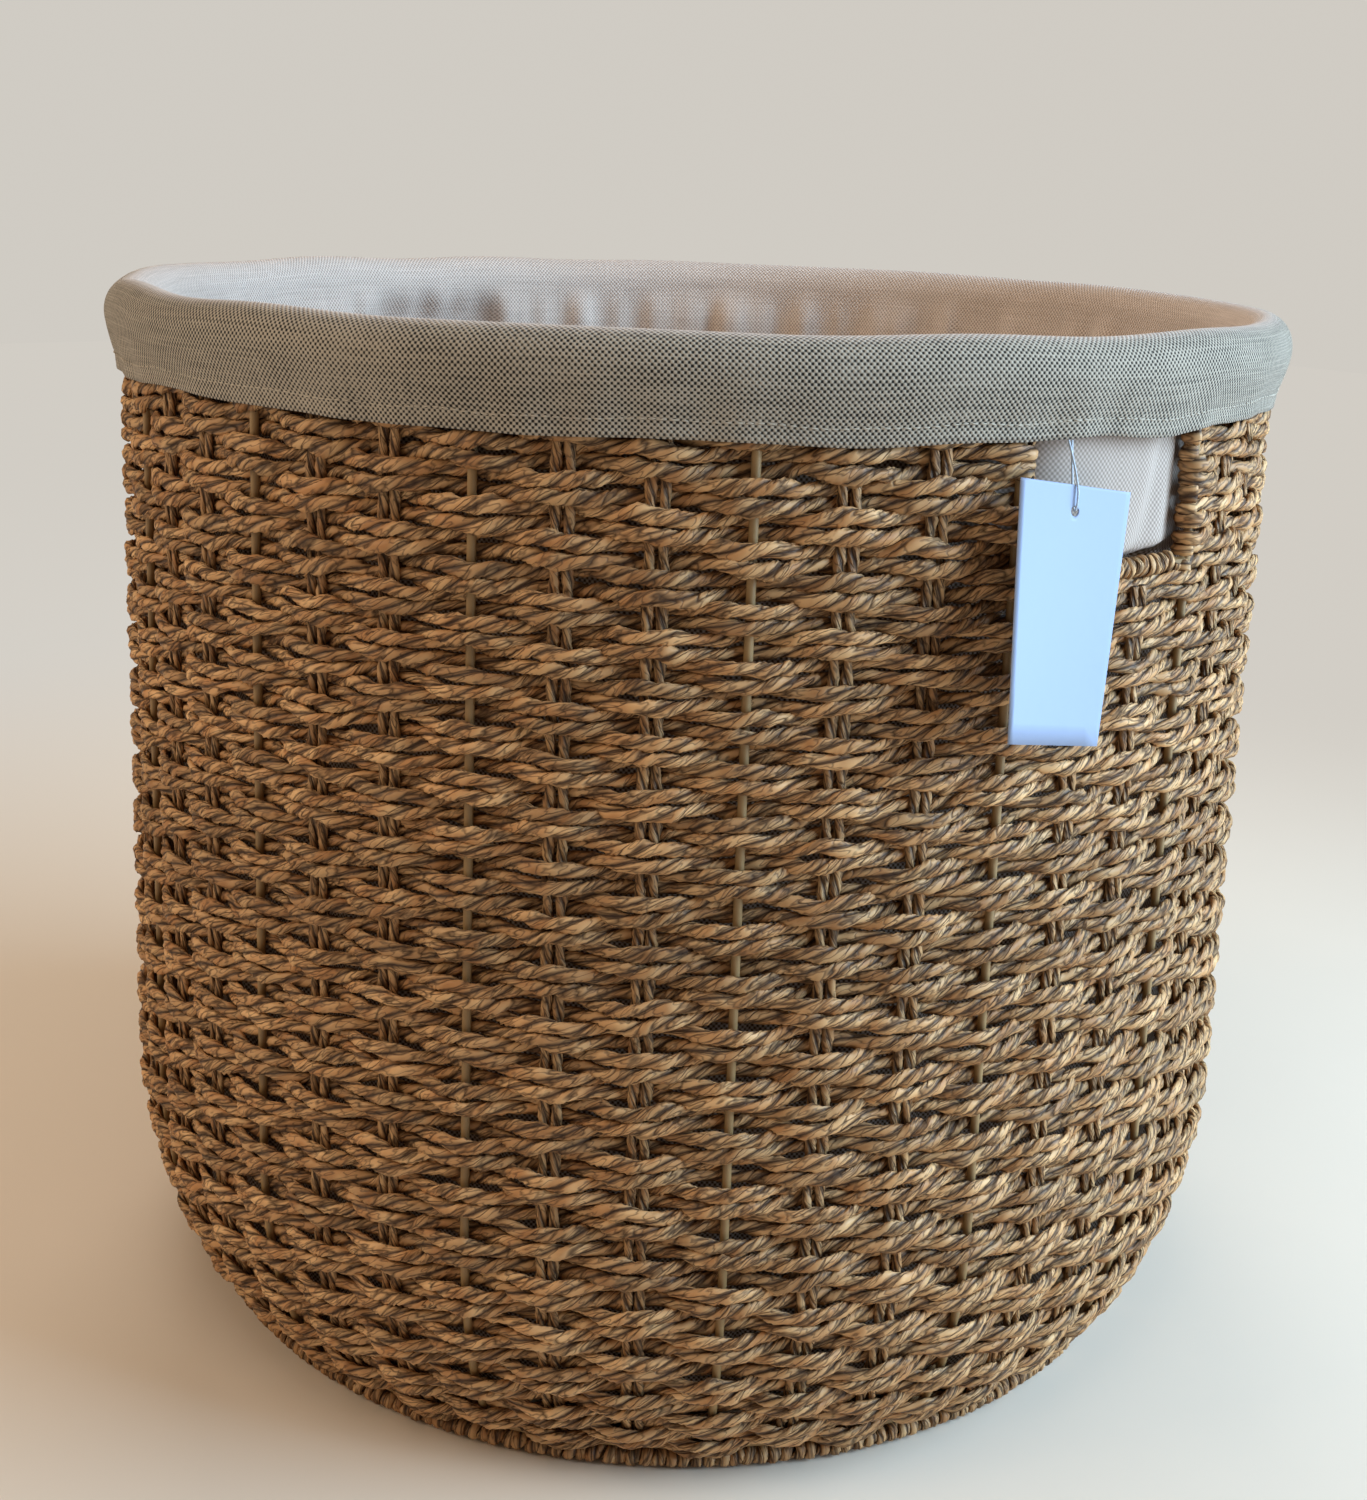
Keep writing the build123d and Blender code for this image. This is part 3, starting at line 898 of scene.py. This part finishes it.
class BASKET_OT_borders(bpy.types.Operator):
    """Bend the hoops and wind the rim and foot borders with cord"""
    bl_idname = "basket.borders"
    bl_label = "Hoops and borders"

    # Half the cord's thickness, the distance from turn to turn, the points on a turn, and how far the
    # winding's middle is raised and half its height is cut, to keep it off the floor
    cord = 0.0015
    pitch = 0.0046
    turn_points = 14
    clearance = 0.0002

    def execute(self, context):
        wire = context.scene.basket_wall.hoop_wire / 2
        rng = draws(2)
        for node in ("rim_hoop", "foot_hoop", "hub_hoop"):
            out, _ = around_axis(circle(240))
            line = (reach(node) - wire) * out + middle(node) * UP
            build_wires(node, [round_wire(line, out, wire, ring=True)])
        for node, half_width in (("rim_border", 0.0044), ("foot_border", 0.00425)):
            build_ropes(node, "wound", [self.winding(rng, node, half_width)])
        return {"FINISHED"}

    def winding(self, rng, node, half_width):
        """Cord wound round a ring: a point goes round a small oval as the oval goes once round the basket."""
        radius = reach(node) - half_width
        level = middle(node) + self.clearance
        half = half_height(node) - self.clearance
        turns = round(2 * math.pi * radius / self.pitch)
        angle = circle(self.turn_points * turns)
        out, _ = around_axis(angle)
        spin = angle * turns + 0.35 * wander(rng, angle, 60, 160)
        across = (half_width - self.cord) * np.cos(spin) * (1 + 0.05 * wander(rng, angle, 30, 200))
        upward = (half - self.cord) * np.sin(spin)
        line = per_row(radius + across) * out + per_row(level + upward) * UP
        facing = per_row(np.cos(spin)) * out + per_row(np.sin(spin)) * UP
        twist = angle * turns * 0.5 + 0.6 * wander(rng, angle, 20, 120)
        swell = 0.1 * wander_pair(rng, angle, 100, 900)
        height = 0.6 * 2 * math.pi * radius / turns
        return twisted(line, facing, self.cord, height, twist, swell, rng.uniform(0.3, 0.5), True)


class BASKET_OT_base(bpy.types.Operator):
    """Coil the base mat and set the wires over it"""
    bl_idname = "basket.base"
    bl_label = "Base"

    # Distance from coil to coil, from point to point along the rope, and its lay; points along a spoke
    pitch = 0.0046
    spacing = 0.0038
    lay = 0.02
    spoke_points = 12

    def execute(self, context):
        rng = draws(3)
        build_ropes("base_mat", "coiled", [self.coil(rng)])
        build_wires("base_spokes", self.spokes(context.scene.basket_wall))
        return {"FINISHED"}

    def coil(self, rng):
        """Flat spiral: the square of its radius grows evenly along the rope, by the pitch over pi."""
        half = half_height("base_mat")
        edge = reach("base_mat") - self.pitch / 2
        distance = np.arange(0, math.pi * edge ** 2 / self.pitch, self.spacing)
        radius = np.sqrt(self.pitch ** 2 + self.pitch * distance / math.pi)
        distance, radius = distance[radius < edge], radius[radius < edge]
        out, _ = around_axis(2 * math.pi * (radius - self.pitch) / self.pitch)
        line = per_row(radius) * out + (low("base_mat") + half) * UP
        facing = np.broadcast_to(-UP, line.shape)
        twist = 2 * math.pi * distance / self.lay + rng.uniform(0, 6)
        swell = 0.08 * wander_pair(rng, distance * 3, 60, 400)
        return twisted(line, facing, half, self.pitch * 0.54, twist, swell, 0.45)

    def spokes(self, sizes):
        """Straight wires from the hub hoop to the foot hoop, one under each wire of the wall."""
        wall = Wall()
        run = np.linspace(reach("hub_hoop"), reach("foot_hoop") - sizes.hoop_wire, self.spoke_points)
        wires = []
        for stake in range(0, sizes.stakes, sizes.wires_apart):
            out, _ = around_axis(np.full(self.spoke_points, wall.stake_angle(stake)))
            line = per_row(run) * out + middle("base_spokes") * UP
            wires.append(round_wire(line, np.broadcast_to(UP, line.shape), sizes.wire / 2))
        return wires


class BASKET_OT_sills(bpy.types.Operator):
    """Wind the sill of each hand-hold with cord"""
    bl_idname = "basket.sills"
    bl_label = "Sills"

    # Half the cord's thickness, its turns on a sill and the points on a turn
    cord = 0.0013
    turns = 21
    turn_points = 20

    def execute(self, context):
        rng = draws(4)
        build_ropes("sill_wraps", "wound", [self.winding(rng, facing) for facing in (1, -1)])
        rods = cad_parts["sill_rods"]
        rods.data.materials.clear()
        rods.data.materials.append(finish_of(paint_finish, "wire_paint"))
        return {"FINISHED"}

    def winding(self, rng, facing):
        """Helix along a sill, on the side of the basket that it faces, with a small random wobble."""
        radius = half_height("sill_wraps")
        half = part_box("sill_wraps")[1].y
        share_along = np.linspace(0, 1, self.turns * self.turn_points)
        spin = 2 * math.pi * self.turns * share_along
        around = np.stack([facing * np.cos(spin), np.zeros_like(spin), np.sin(spin)], -1)
        centre = np.zeros_like(around)
        centre[:, 0] = facing * (reach("sill_wraps") - radius)
        centre[:, 1] = (2 * share_along - 1) * (half - 0.001) * facing
        centre[:, 2] = middle("sill_wraps")
        wobble = 1 + 0.04 * wander(rng, share_along * 6, 5, 60)
        line = centre + per_row((radius - self.cord) * wobble) * around
        twist = 6 * share_along + 0.8 * wander(rng, share_along * 6, 5, 40)
        swell = 0.1 * wander_pair(rng, share_along * 6, 20, 90)
        height = half / self.turns * 1.12
        return twisted(line, around, self.cord, height, twist, swell, 0.5, shift=rng.uniform(0, 9))


class BASKET_OT_liner(bpy.types.Operator):
    """Hang the cloth bag, roll it over the rim and stitch the cuff's hem"""
    bl_idname = "basket.liner"
    bl_label = "Cloth liner"

    # Height of the roll over the rim, how far the bag hangs inside the stakes, the cuff inside its solid and
    # the hem inside the cuff, and the round corner at the bag's foot
    roll = 0.011
    bag_inset = 0.0089
    cuff_inset = 0.0006
    hem_inset = 0.0011
    corner = 0.04

    # Points round the cloth, and points of the roll before the cuff
    columns = 480
    roll_points = 12

    # Half angles of a hand-hold: where the cloth bulges, where it still stands out a little, and where it
    # shows its pale side instead of the painted shade of the wall
    bulge_angle = 0.187
    slack_angle = 0.235
    pale_angle = 0.27

    def execute(self, context):
        liner = context.scene.basket_liner
        rng = draws(5)
        side = self.side(liner, rng)
        stitches = self.stitches(context, liner, rng)
        floor = self.floor(liner, rng)
        return {"FINISHED"}

    def build_cloth(self, name, grid, node):
        """Piece of cloth in place of a node."""
        linen = finish_of(linen_finish, "linen_cloth")
        return build(name, [grid], linen, "cloth", "liner", [node])

    def bag_bottom(self):
        """Height of the bag's foot, just over the cloth of its floor."""
        return high("liner_floor") + 0.0004

    def cuff_radius(self, liner, z):
        """Outside of the cuff at a height: it narrows smoothly from the roll to its edge."""
        fullest = high("liner_side") - self.roll
        edge = cuff_edge()
        narrowing = liner.cuff_taper * ease((fullest - z) / (fullest - edge))
        return reach("liner_side") - self.cuff_inset - narrowing

    def profile(self, liner):
        """Radius and height along the cloth: up the inside from a round corner, over the rim on half an
        oval, down the cuff and up inside its hem. The last value counts the points inside."""
        top = high("liner_side")
        spring = top - self.roll
        edge = cuff_edge()
        bottom = self.bag_bottom()
        below = low("sill_wraps") - 0.006
        wall = Wall()
        bag = wall.at(wall.length_to(rim_level))[0] - self.bag_inset
        foot = reach("liner_floor") - 0.0005
        rim = self.cuff_radius(liner, top)
        bag_z = np.concatenate([np.linspace(bottom, below, 22), np.linspace(below, spring, 36)[1:]])
        sink = np.clip(1 - (bag_z - bottom) / self.corner, 0, 1)
        bag_r = bag - (bag - foot) * (1 - np.sqrt(1 - sink ** 2))
        sweep = np.radians(np.linspace(180, 0, 22))[1:]
        roll_r = (bag + rim) / 2 + (rim - bag) / 2 * np.cos(sweep)
        roll_z = spring + self.roll * np.sin(sweep)
        cuff_z = np.linspace(spring, edge + 0.0004, 14)[1:]
        cuff_r = self.cuff_radius(liner, cuff_z)
        hem_z = np.linspace(edge + 0.0003, edge + liner.hem_return, 6)
        hem_r = self.cuff_radius(liner, hem_z) - self.hem_inset
        radius = np.concatenate([bag_r, roll_r, cuff_r, hem_r])
        return radius, np.concatenate([bag_z, roll_z, cuff_z, hem_z]), len(bag_z)

    def folds(self, liner, rng, angle, z):
        """How far the bag's upright folds come in: broad and fine ripples round the basket, and narrow
        pleats that drift aside on their way down. They die out at the roll and at the foot."""
        top = high("liner_side")
        bottom = self.bag_bottom()
        slack = ease((top - 0.0105 - z) / 0.018) * ease((z - bottom) / 0.03)
        broad = 0.5 + 0.5 * wander(rng, angle, 7, 24)
        fine = wander(rng, angle, 26, 70)
        drift = wander(rng, angle, 9, 30)
        down = per_row((top - z) / top)
        pleat = np.clip(1 - 1.8 * abs(drift + 2.5 * down * fine), 0, 1)
        folds = np.clip(broad + 0.5 * fine * (1 - down) + 0.7 * pleat, 0, 2.4)
        return liner.fold_depth * 0.6 * per_row(slack) * folds

    def bag_shape(self, liner, rng, angle, z, inside):
        """How far the bag stands out from its plain round, and where it shows in a hand-hold. There it
        bulges between the sill and the roll, with one slanting crease, and its folds flatten."""
        sill = high("sill_wraps")
        aside = (angle + math.pi / 2) % math.pi - math.pi / 2
        bulging = np.sqrt(np.clip(1 - (aside / self.bulge_angle) ** 6, 0, 1))
        standing = 0.26 * np.exp(-(aside / self.slack_angle) ** 16)
        opening = np.maximum(bulging, standing)
        window = ease((z - sill + 0.003) / 0.006) * ease((high("liner_side") - 0.012 - z) / 0.02) * inside
        hold = np.outer(window, opening)
        crease = 0.3 * np.exp(-((aside - 0.07 - 1.6 * per_row(z - sill)) / 0.028) ** 2)
        gather = 1 + 0.25 * np.sin(angle * 90 + 1.0) * (1 - per_row(window))
        folds = self.folds(liner, rng, angle, z) * per_row(inside)
        shape = liner.bulge * gather * hold * (1 - crease) - folds * (1 - 0.8 * hold)
        return shape, np.outer(window > 0, np.exp(-(aside / self.pale_angle) ** 16))

    def side(self, liner, rng):
        """Cloth in one length, its profile carried round the basket. Its radius ripples: upright folds in
        the bag, small puckers in the cuff and a dent along the stitching."""
        top = high("liner_side")
        edge = cuff_edge()
        radius, z, bag_points = self.profile(liner)
        number = np.arange(len(z))
        inside = number < bag_points
        cuff = number >= bag_points + self.roll_points
        angle = circle(self.columns)
        shape, bare = self.bag_shape(liner, rng, angle, z, inside)
        hang = ease((top - 0.004 - z) / (top - edge)) * cuff
        ripple, sway = self.ripple(angle)
        seam = np.exp(-((z - edge - liner.stitch_height) / 0.0012) ** 2) * cuff
        shape = shape + np.outer(hang, ripple) - 0.0003 * per_row(seam)
        over = np.where(inside, ease((z - top + 0.03) / 0.03), 1 - hang)
        lift = 0.0003 * np.outer(over, wander(rng, angle, 3, 17)) + np.outer(hang, sway)
        out, _ = around_axis(angle)
        points = (per_row(radius) + shape)[..., None] * out + (per_row(z) + lift)[..., None] * UP
        rim = self.cuff_radius(liner, top)
        around = np.append(angle, 2 * math.pi) * rim / liner.thread
        length_up = np.append(distance_along(radius, z), 0) / liner.thread
        crown = (radius[bag_points - 1] + rim) / 2
        # Tone 1 on the bag and 0 on the cuff picks the bag's painted light and the cuff's painted shade;
        # above 1 it marks the hand-holds, where the wrong side shows pale instead of its painted shade
        tone = per_row(ease((crown + 0.006 - radius) / 0.008)) + bare
        cloth = self.build_cloth("liner_cloth", Grid(points, around, per_row(length_up), tone), "liner_side")
        # The wrong side, towards the ropes, is painted in shade except in the hand-holds
        cloth.data.materials.append(finish_of(reverse_finish, "linen_reverse"))
        thicken(cloth, liner.cloth).material_offset = 1
        return cloth

    def ripple(self, angle):
        """How far the cuff's edge strays outwards and upwards at angles round the basket."""
        rng = draws(6)
        outward = 0.0003 * wander(rng, angle, 18, 80) + 0.0004 * wander(rng, angle, 4, 15)
        return outward, 0.0005 * wander(rng, angle, 4, 30)

    def stitches(self, context, liner, rng):
        """Row of small stitches round the cuff: each is a short six-sided bead, thick in its middle."""
        number = round(2 * math.pi * reach("liner_side") / liner.stitch)
        angle = circle(number)
        ripple, sway = self.ripple(angle)
        z = cuff_edge() + liner.stitch_height + 0.0002 * wander(rng, angle, 6, 60)
        radius = self.cuff_radius(liner, z) + 0.88 * ripple + liner.cloth / 2 - 0.00025
        out, side = around_axis(angle)
        middles = per_row(radius) * out + per_row(z + 0.88 * sway) * UP
        runs = side + per_row(rng.uniform(-0.1, 0.1, number)) * UP
        share_along = np.linspace(-1, 1, 5)[:, None, None]
        thick = 0.0003 * np.sqrt(1 - 0.85 * share_along ** 2)
        spin = circle(6)
        grids = []
        for place in range(number):
            ring = per_row(np.cos(spin)) * out[place] + per_row(np.sin(spin)) * UP
            points = middles[place] + share_along * liner.stitch * 0.36 * runs[place] + thick * ring
            grids.append(Grid(points, 0.0, 0.0, ends=(0, -1)))
        tone = toned(1.1, context.scene.basket_colours.cuff)
        thread = finish_of(thread_finish, "hem_thread", tone, 0.8)
        return build("hem_stitches", grids, thread, "cord", "liner")

    def floor(self, liner, rng):
        """Round of cloth in soft ripples, flat at its edge."""
        edge = reach("liner_floor") - 0.0006
        share_out = per_row(np.linspace(0.004, 1, 46))
        angle = circle(240)
        ripple = share_out * (1 - share_out ** 4) * wander(rng, angle, 3, 16)
        swirl = np.sin(share_out * 14 + 2 * np.sin(angle * 3)) * (1 - share_out ** 6)
        lift = 0.0011 + 0.0008 * ripple + 0.0003 * swirl
        lift = np.clip(lift * (1 - share_out ** 8), 0, None)
        out, _ = around_axis(angle)
        points = (share_out * edge)[..., None] * out + (middle("liner_floor") + lift)[..., None] * UP
        places = np.pad(points, ((0, 1), (0, 1), (0, 0)), "wrap") / liner.thread
        grid = Grid(points, places[..., 0], places[..., 1], ends=(0,))
        cloth = self.build_cloth("liner_floor_cloth", grid, "liner_floor")
        thicken(cloth, liner.cloth)
        return cloth


class BASKET_OT_tag(bpy.types.Operator):
    """Hang the blank card on its loop of nylon"""
    bl_idname = "basket.tag"
    bl_label = "Swing tag"

    # Rays round the card's hole, and rings from the hole to the edge
    rays = 64
    rings = 16

    def execute(self, context):
        tag = context.scene.basket_tag
        hole, right, up, out = self.hole_frame(tag)
        self.card(tag, hole, right, up, out)
        string, exit_point = self.string(context, tag, hole, up, out)
        return {"FINISHED"}

    def hole_frame(self, tag):
        """Middle of the hole and the card's right, up and outward directions, askew and leaning out."""
        out, side = around_axis(np.array(tag.angle))
        hole = tag.radius * out + tag.hole_level * UP
        right = math.cos(tag.tilt) * side - math.sin(tag.tilt) * UP
        upright = math.sin(tag.tilt) * side + math.cos(tag.tilt) * UP
        up = math.cos(tag.lean) * upright - math.sin(tag.lean) * out
        return hole, right, up, math.cos(tag.lean) * out + math.sin(tag.lean) * upright

    def card(self, tag, hole, right, up, out):
        """Card as rings from its round hole out to its straight edges: each ray from the hole's middle
        ends where it first meets an edge. The card twists, so a point goes out by its distance to the
        right times the sine of an angle that grows down the card."""
        right_edge, top, foot = tag.width / 2, tag.hole_drop, tag.hole_drop - tag.height
        corners = np.arctan2([top, top, foot, foot], [right_edge, -right_edge, -right_edge, right_edge])
        even = np.linspace(-math.pi, math.pi, self.rays, endpoint=False) + 0.02
        ray = np.sort(np.concatenate([even, corners]))
        across, upward = np.cos(ray), np.sin(ray)
        reach_side = right_edge / np.maximum(abs(across), 1e-9)
        reach_end = np.where(upward > 0, top, foot) / np.where(abs(upward) > 1e-9, upward, 1e-9)
        edge = np.minimum(reach_side, abs(reach_end))
        share_out = per_row(np.linspace(0, 1, self.rings)) ** 1.4
        distance = tag.hole / 2 + (edge - tag.hole / 2) * share_out
        x, y = distance * across, distance * upward
        turned = tag.twist * (top - y) / tag.height
        points = hole + (x * np.cos(turned))[..., None] * right + y[..., None] * up
        points = points - (x * np.sin(turned))[..., None] * out
        grid = Grid(points, 0.0, 0.0)
        finish = finish_of(card_finish, "card_stock")
        card = build("hang_tag_card", [grid], finish, "card", "tag", ["hang_tag"])
        thicken(card, tag.card)

    def string(self, context, tag, hole, up, out):
        """Line from the cuff's edge down the front of the card, through the hole and up behind it."""
        ray, side = around_axis(np.array(tag.string_angle))
        start = tag.string_radius * ray + tag.string_level * UP
        gap = tag.string
        route = np.array([
            start - gap * side,
            hole + (tag.hole_drop + gap) * up + 1.6 * gap * out,
            hole + 0.3 * gap * up + 1.6 * gap * out,
            hole + 0.3 * gap * up - 1.6 * gap * out,
            start + gap * side,
        ])
        curve = bpy.data.curves.new("tag_string_line", "CURVE")
        curve.dimensions = "3D"
        curve.bevel_depth = tag.string / 2
        curve.bevel_resolution = 3
        curve.use_fill_caps = True
        spline = curve.splines.new("NURBS")
        spline.points.add(len(route) - 1)
        spline.points.foreach_set("co", np.column_stack([route, np.ones(len(route))]).ravel())
        spline.order_u = 3
        spline.use_endpoint_u = True
        spline.resolution_u = 8
        nylon = context.scene.basket_colours.nylon
        curve.materials.append(finish_of(thread_finish, "nylon", nylon, 0.2))
        string = add_piece("tag_string_line", curve, "tag", ["tag_string"])
        return string, tuple(route[0])


class BASKET_OT_stage(bpy.types.Operator):
    """Lay the floor and set the lights and the camera"""
    bl_idname = "basket.stage"
    bl_label = "Stage"

    def execute(self, context):
        stage = context.scene.basket_stage
        self.lay_floor(stage)
        self.light_room(context, stage)
        self.hang_light(stage, "window", (1.4, 0.3, 0.8), (0.50, 0.75, 1.0), width=1.2, power=60.0)
        self.hang_light(stage, "lamp", (-1.5, 0.4, 1.0), (1.0, 0.86, 0.67), width=1.0, power=12.0)
        self.hang_light(stage, "ceiling", (-0.2, 0.7, 2.1), (1.0, 0.93, 0.85), width=0.9, power=7.5)
        self.hang_light(stage, "back", (-0.3, -1.7, 1.1), (1.0, 0.94, 0.86), width=1.2, power=14.0)
        self.set_camera(context, stage)
        return {"FINISHED"}

    def lay_floor(self, stage):
        """Square floor, level with the basket's foot."""
        half = stage.floor_half
        corners = [(-half, -half, 0), (half, -half, 0), (half, half, 0), (-half, half, 0)]
        mesh = bpy.data.meshes.new("floor")
        mesh.from_pydata(corners, [], [(0, 1, 2, 3)])
        mesh.materials.append(finish_of(floor_finish, "floor"))
        add("floor", mesh)

    def light_room(self, context, stage):
        """Even warm light from all round, with a plain backdrop in its place for the camera's own rays."""
        colours = context.scene.basket_colours
        world = bpy.data.worlds.new("studio")
        world.use_nodes = True
        tree = world.node_tree
        ambient = tree.nodes["Background"]
        ambient.inputs["Color"].default_value = opaque(colours.ambient)
        ambient.inputs["Strength"].default_value = stage.ambient
        backdrop = tree.nodes.new("ShaderNodeBackground")
        backdrop.inputs["Color"].default_value = opaque(colours.backdrop)
        rays = tree.nodes.new("ShaderNodeLightPath")
        seen = tree.nodes.new("ShaderNodeMixShader")
        tree.links.new(rays.outputs["Is Camera Ray"], seen.inputs[0])
        tree.links.new(ambient.outputs[0], seen.inputs[1])
        tree.links.new(backdrop.outputs[0], seen.inputs[2])
        tree.links.new(seen.outputs[0], tree.nodes["World Output"].inputs["Surface"])
        context.scene.world = world
        context.scene.view_settings.view_transform = "Standard"

    def hang_light(self, stage, name, place, tint, width, power):
        """Soft square panel that shines at the basket's middle, from a place to the right of, towards and
        above the basket as the camera sees it."""
        light = bpy.data.lights.new(name, "AREA")
        light.color = tint
        light.size = width
        light.energy = power
        sideways, level = around_axis(np.array(stage.azimuth))
        across, near, above = place
        place = across * sideways - near * level + above * UP
        ahead = 0.2 * UP - place
        ahead /= np.linalg.norm(ahead)
        steep = abs(ahead[2]) > 0.9
        right = np.cross(ahead, ALONG_X if steep else UP)
        right /= np.linalg.norm(right)
        self.set_place(add(name, light), right, np.cross(right, ahead), ahead, place)

    def set_camera(self, context, stage):
        """Camera at the photograph's place, from its height, distance, tilt and roll."""
        sideways, level = around_axis(np.array(stage.azimuth))
        ahead = level * math.cos(stage.tilt) - UP * math.sin(stage.tilt)
        above = UP * math.cos(stage.tilt) + level * math.sin(stage.tilt)
        right = sideways * math.cos(stage.roll) + above * math.sin(stage.roll)
        up = above * math.cos(stage.roll) - sideways * math.sin(stage.roll)
        camera = bpy.data.cameras.new("camera")
        camera.sensor_width = 36.0
        camera.lens = stage.lens
        camera.clip_start = 0.01
        holder = add("camera", camera)
        self.set_place(holder, right, up, ahead, UP * stage.height - level * stage.distance)
        context.scene.camera = holder

    def set_place(self, made, right, up, ahead, place):
        """Put a light or camera at a place, turned to look ahead."""
        axes = np.column_stack([right, up, -ahead, place])
        made.matrix_world = Matrix(np.vstack([axes, [0, 0, 0, 1]]).tolist())


class BASKET_PT_panel(bpy.types.Panel):
    """Sidebar panel that lists the basket's sizes and pieces"""
    bl_idname = "BASKET_PT_panel"
    bl_label = "Woven basket"
    bl_space_type = "VIEW_3D"
    bl_region_type = "UI"
    bl_category = "Basket"

    def draw(self, context):
        for group in groups:
            box = self.layout.box()
            settings = getattr(context.scene, group)
            box.label(text=group.replace("_", " "))
            for name in settings.bl_rna.properties.keys():
                if name not in ("rna_type", "name"):
                    box.prop(settings, name)
        for operator in operators:
            self.layout.operator(operator.bl_idname)


groups = {
    "basket_wall": BasketWall,
    "basket_weave": BasketWeave,
    "basket_liner": BasketLiner,
    "basket_tag": BasketTag,
    "basket_stage": BasketStage,
    "basket_colours": BasketColours,
}
operators = (
    BASKET_OT_weave,
    BASKET_OT_stakes,
    BASKET_OT_borders,
    BASKET_OT_base,
    BASKET_OT_sills,
    BASKET_OT_liner,
    BASKET_OT_tag,
    BASKET_OT_stage,
)


def register():
    for name, group in groups.items():
        bpy.utils.register_class(group)
        setattr(bpy.types.Scene, name, PointerProperty(type=group))
    for kind in (*operators, BASKET_PT_panel):
        bpy.utils.register_class(kind)


def unregister():
    for kind in reversed((*operators, BASKET_PT_panel)):
        bpy.utils.unregister_class(kind)
    for name, group in groups.items():
        delattr(bpy.types.Scene, name)
        bpy.utils.unregister_class(group)


def main():
    register()
    bpy.ops.basket.weave()
    bpy.ops.basket.stakes()
    bpy.ops.basket.borders()
    bpy.ops.basket.base()
    bpy.ops.basket.sills()
    bpy.ops.basket.liner()
    bpy.ops.basket.tag()
    bpy.ops.basket.stage()


if __name__ == "__main__":
    main()
